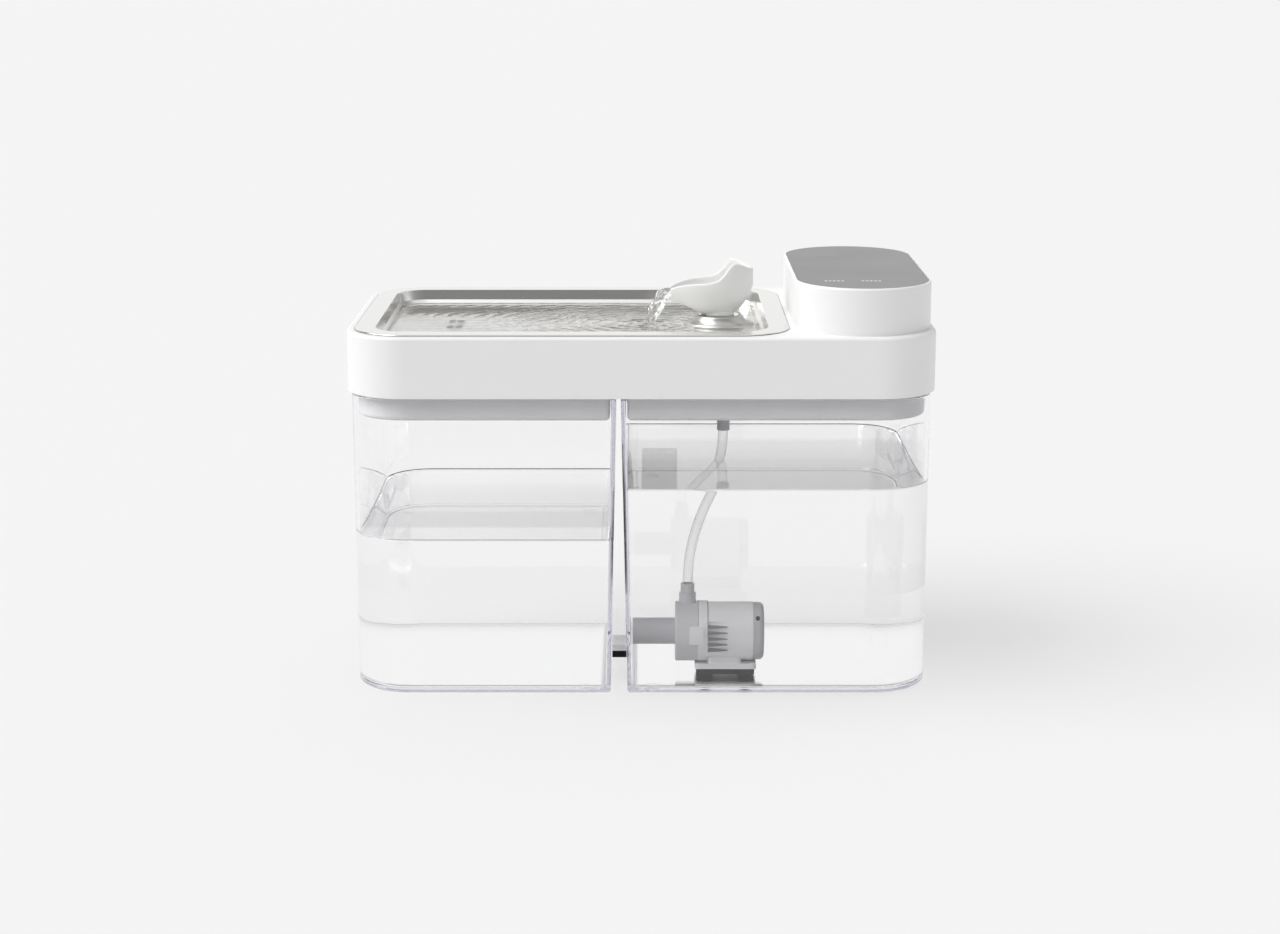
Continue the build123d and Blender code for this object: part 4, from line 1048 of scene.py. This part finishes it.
class FOUNTAIN_OT_pump_details(PieceOperator, bpy.types.Operator):
    """Adds painted shade to the pump: dark rings at the seams of its ring, dark wedges in its cooling grooves
    and a dark pad of painted shadow under its base
    """
    bl_idname = "fountain.pump_details"
    bl_label = "Pump details"

    def execute(self, context):
        # Painted shade: thin dark rings at the housing's seams and dark wedges in its grooves.
        low, high = HOUSING_RADIUS - 0.5, HOUSING_RADIUS + 0.06
        seam_shade = [housing_ring(((x - SEAM_HALF_WIDTH, low), (x + SEAM_HALF_WIDTH, low),
                               (x + SEAM_HALF_WIDTH, high), (x - SEAM_HALF_WIDTH, high)))
                 for x in (HOUSING_LEFT + 0.2, RING_RIGHT)]
        groove_shade = joined(seam_shade + [groove_skin(level) for level in GROOVE_LEVELS])
        piece("pump_grooves", groove_shade, look("groove_grey"), "deck", smooth=False)
        # Painted shadow: a dark rubber pad between the suction cups stands in for the shade under the pump's
        # base.
        (left, near, low), (right, far, high) = CUPS_LOW, CUPS_HIGH
        loop = round_corners(left, right, (far - near) / 2 - 2.0, (PAD_CORNER, PAD_CORNER), SMALL_STEPS, 0.1)
        pad = stacked(loop + (0.0, (near + far) / 2), low, high)
        piece("pump_pad", pad, look("rubber_black"), "deck", smooth=False)
        return {"FINISHED"}


class FOUNTAIN_OT_tray_details(PieceOperator, bpy.types.Operator):
    """Adds the tray's painted shadow round the rim's foot, the step in its wall, the satin cone of its boss
    in painted darker steel and painted shade in the drains
    """
    bl_idname = "fountain.tray_details"
    bl_label = "Tray details"

    def execute(self, context):
        # Painted shade: dark discs in the drain holes stand in for the shade of the hollow beneath.
        turn = np.linspace(0.0, 2.0 * math.pi, 20, endpoint=False)
        circle = DRAIN_SHADE_RADIUS * np.column_stack([np.cos(turn), np.sin(turn)])
        aside = (-DRAIN_PITCH / 2, DRAIN_PITCH / 2)
        places = [(DRAIN_X + dx, row + dy) for row in (-DRAIN_ROW, DRAIN_ROW) for dx in aside for dy in aside]
        low, high = BASIN_FLOOR - 0.2, BASIN_FLOOR + 0.25
        drain_shade_discs = joined([stacked(circle + place, low, high) for place in places])
        piece("drain_strainers", drain_shade_discs, look("rubber_black"), "tray", smooth=False)
        boss = piece("boss_cone", boss_ring(BOSS_PROFILE[::-1], 96), look("boss_steel"), "tray")
        # Painted shadow: a thin dark band round the rim's foot, where the rim's shadow falls on the deck.
        low, high = RIM_TOP - 0.75, RIM_TOP - 0.35
        painted_shadow_band = tray_band(((-0.1, low), (-0.1, high), (0.6, high), (0.6, low)))
        piece("rim_gasket", painted_shadow_band, look("groove_grey"), "tray", smooth=False)
        step = piece("basin_step", wall_step(), look("step_steel"), "tray", smooth=False)
        return {"FINISHED"}


class FOUNTAIN_OT_tank_water(PieceOperator, bpy.types.Operator):
    """Fills both tanks with water"""
    bl_idname = "fountain.tank_water"
    bl_label = "Tank water"

    def execute(self, context):
        water = context.scene.fountain_water
        for side, body, level, finish in ((-1, "left_tank", water.left_level, "left_water"),
                                          (1, "right_tank", water.right_level, "right_water")):
            piece(body + "_water", tank_water(side, level, water), look(finish), body)
        return {"FINISHED"}


class FOUNTAIN_OT_tray_water(PieceOperator, bpy.types.Operator):
    """Fills the drinking tray with rippled water"""
    bl_idname = "fountain.tray_water"
    bl_label = "Tray water"

    def execute(self, context):
        landing = np.array(context.scene.fountain_stream.landing) / MM
        film = tray_water(context.scene.fountain_water, landing)
        piece("tray_water", film, look("water_clear"), "tray")
        return {"FINISHED"}


class FOUNTAIN_OT_stream(PieceOperator, bpy.types.Operator):
    """Pours the stream from the bird's tail"""
    bl_idname = "fountain.stream"
    bl_label = "Stream"

    def execute(self, context):
        stream = stream_skin(context.scene.fountain_stream)
        piece("spout_stream", stream, look("water_clear"), "spout")
        return {"FINISHED"}


class FOUNTAIN_OT_key_marks(PieceOperator, bpy.types.Operator):
    """Prints a row of plain bars over each of the two touch keys"""
    bl_idname = "fountain.key_marks"
    bl_label = "Key marks"

    def execute(self, context):
        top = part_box("touch_panel")[1].z / MM
        marks = []
        for row in MARK_ROWS:
            for mark in range(MARKS_IN_ROW):
                left = row + mark * MARK_PITCH
                loop = round_corners(left, left + MARK_LENGTH, MARK_HALF_WIDTH, (MARK_CORNER, MARK_CORNER),
                                     SMALL_STEPS, 0.005)
                marks.append(stacked(loop + (0.0, MARK_Y), top - 0.05, top + 0.03))
        piece("key_marks", joined(marks), look("mark_white"), "deck", smooth=False)
        return {"FINISHED"}


OPERATORS = (FOUNTAIN_OT_studio, FOUNTAIN_OT_hose, FOUNTAIN_OT_finishes, FOUNTAIN_OT_tanks, FOUNTAIN_OT_bird,
             FOUNTAIN_OT_pump_details, FOUNTAIN_OT_tray_details, FOUNTAIN_OT_tank_water,
             FOUNTAIN_OT_tray_water, FOUNTAIN_OT_stream, FOUNTAIN_OT_key_marks)


class FOUNTAIN_PT_panel(bpy.types.Panel):
    """Lists the fountain's operators and settings."""
    bl_label = "Pet water fountain"
    bl_idname = "FOUNTAIN_PT_panel"
    bl_space_type = "VIEW_3D"
    bl_region_type = "UI"
    bl_category = "Fountain"

    def draw(self, context):
        for operator in OPERATORS:
            self.layout.operator(operator.bl_idname)
        for name, group in SETTINGS.items():
            box = self.layout.box()
            box.label(text=group.__doc__)
            for key in group.__annotations__:
                box.prop(getattr(context.scene, name), key)


CLASSES = (*SETTINGS.values(), *OPERATORS, FOUNTAIN_PT_panel)


def register():
    for known in CLASSES:
        bpy.utils.register_class(known)
    for name, group in SETTINGS.items():
        setattr(bpy.types.Scene, name, bpy.props.PointerProperty(type=group))


def unregister():
    for name in SETTINGS:
        delattr(bpy.types.Scene, name)
    for known in reversed(CLASSES):
        bpy.utils.unregister_class(known)


def main():
    register()
    for operator in OPERATORS:
        group, name = operator.bl_idname.split(".")
        getattr(getattr(bpy.ops, group), name)()


if __name__ == "__main__":
    main()
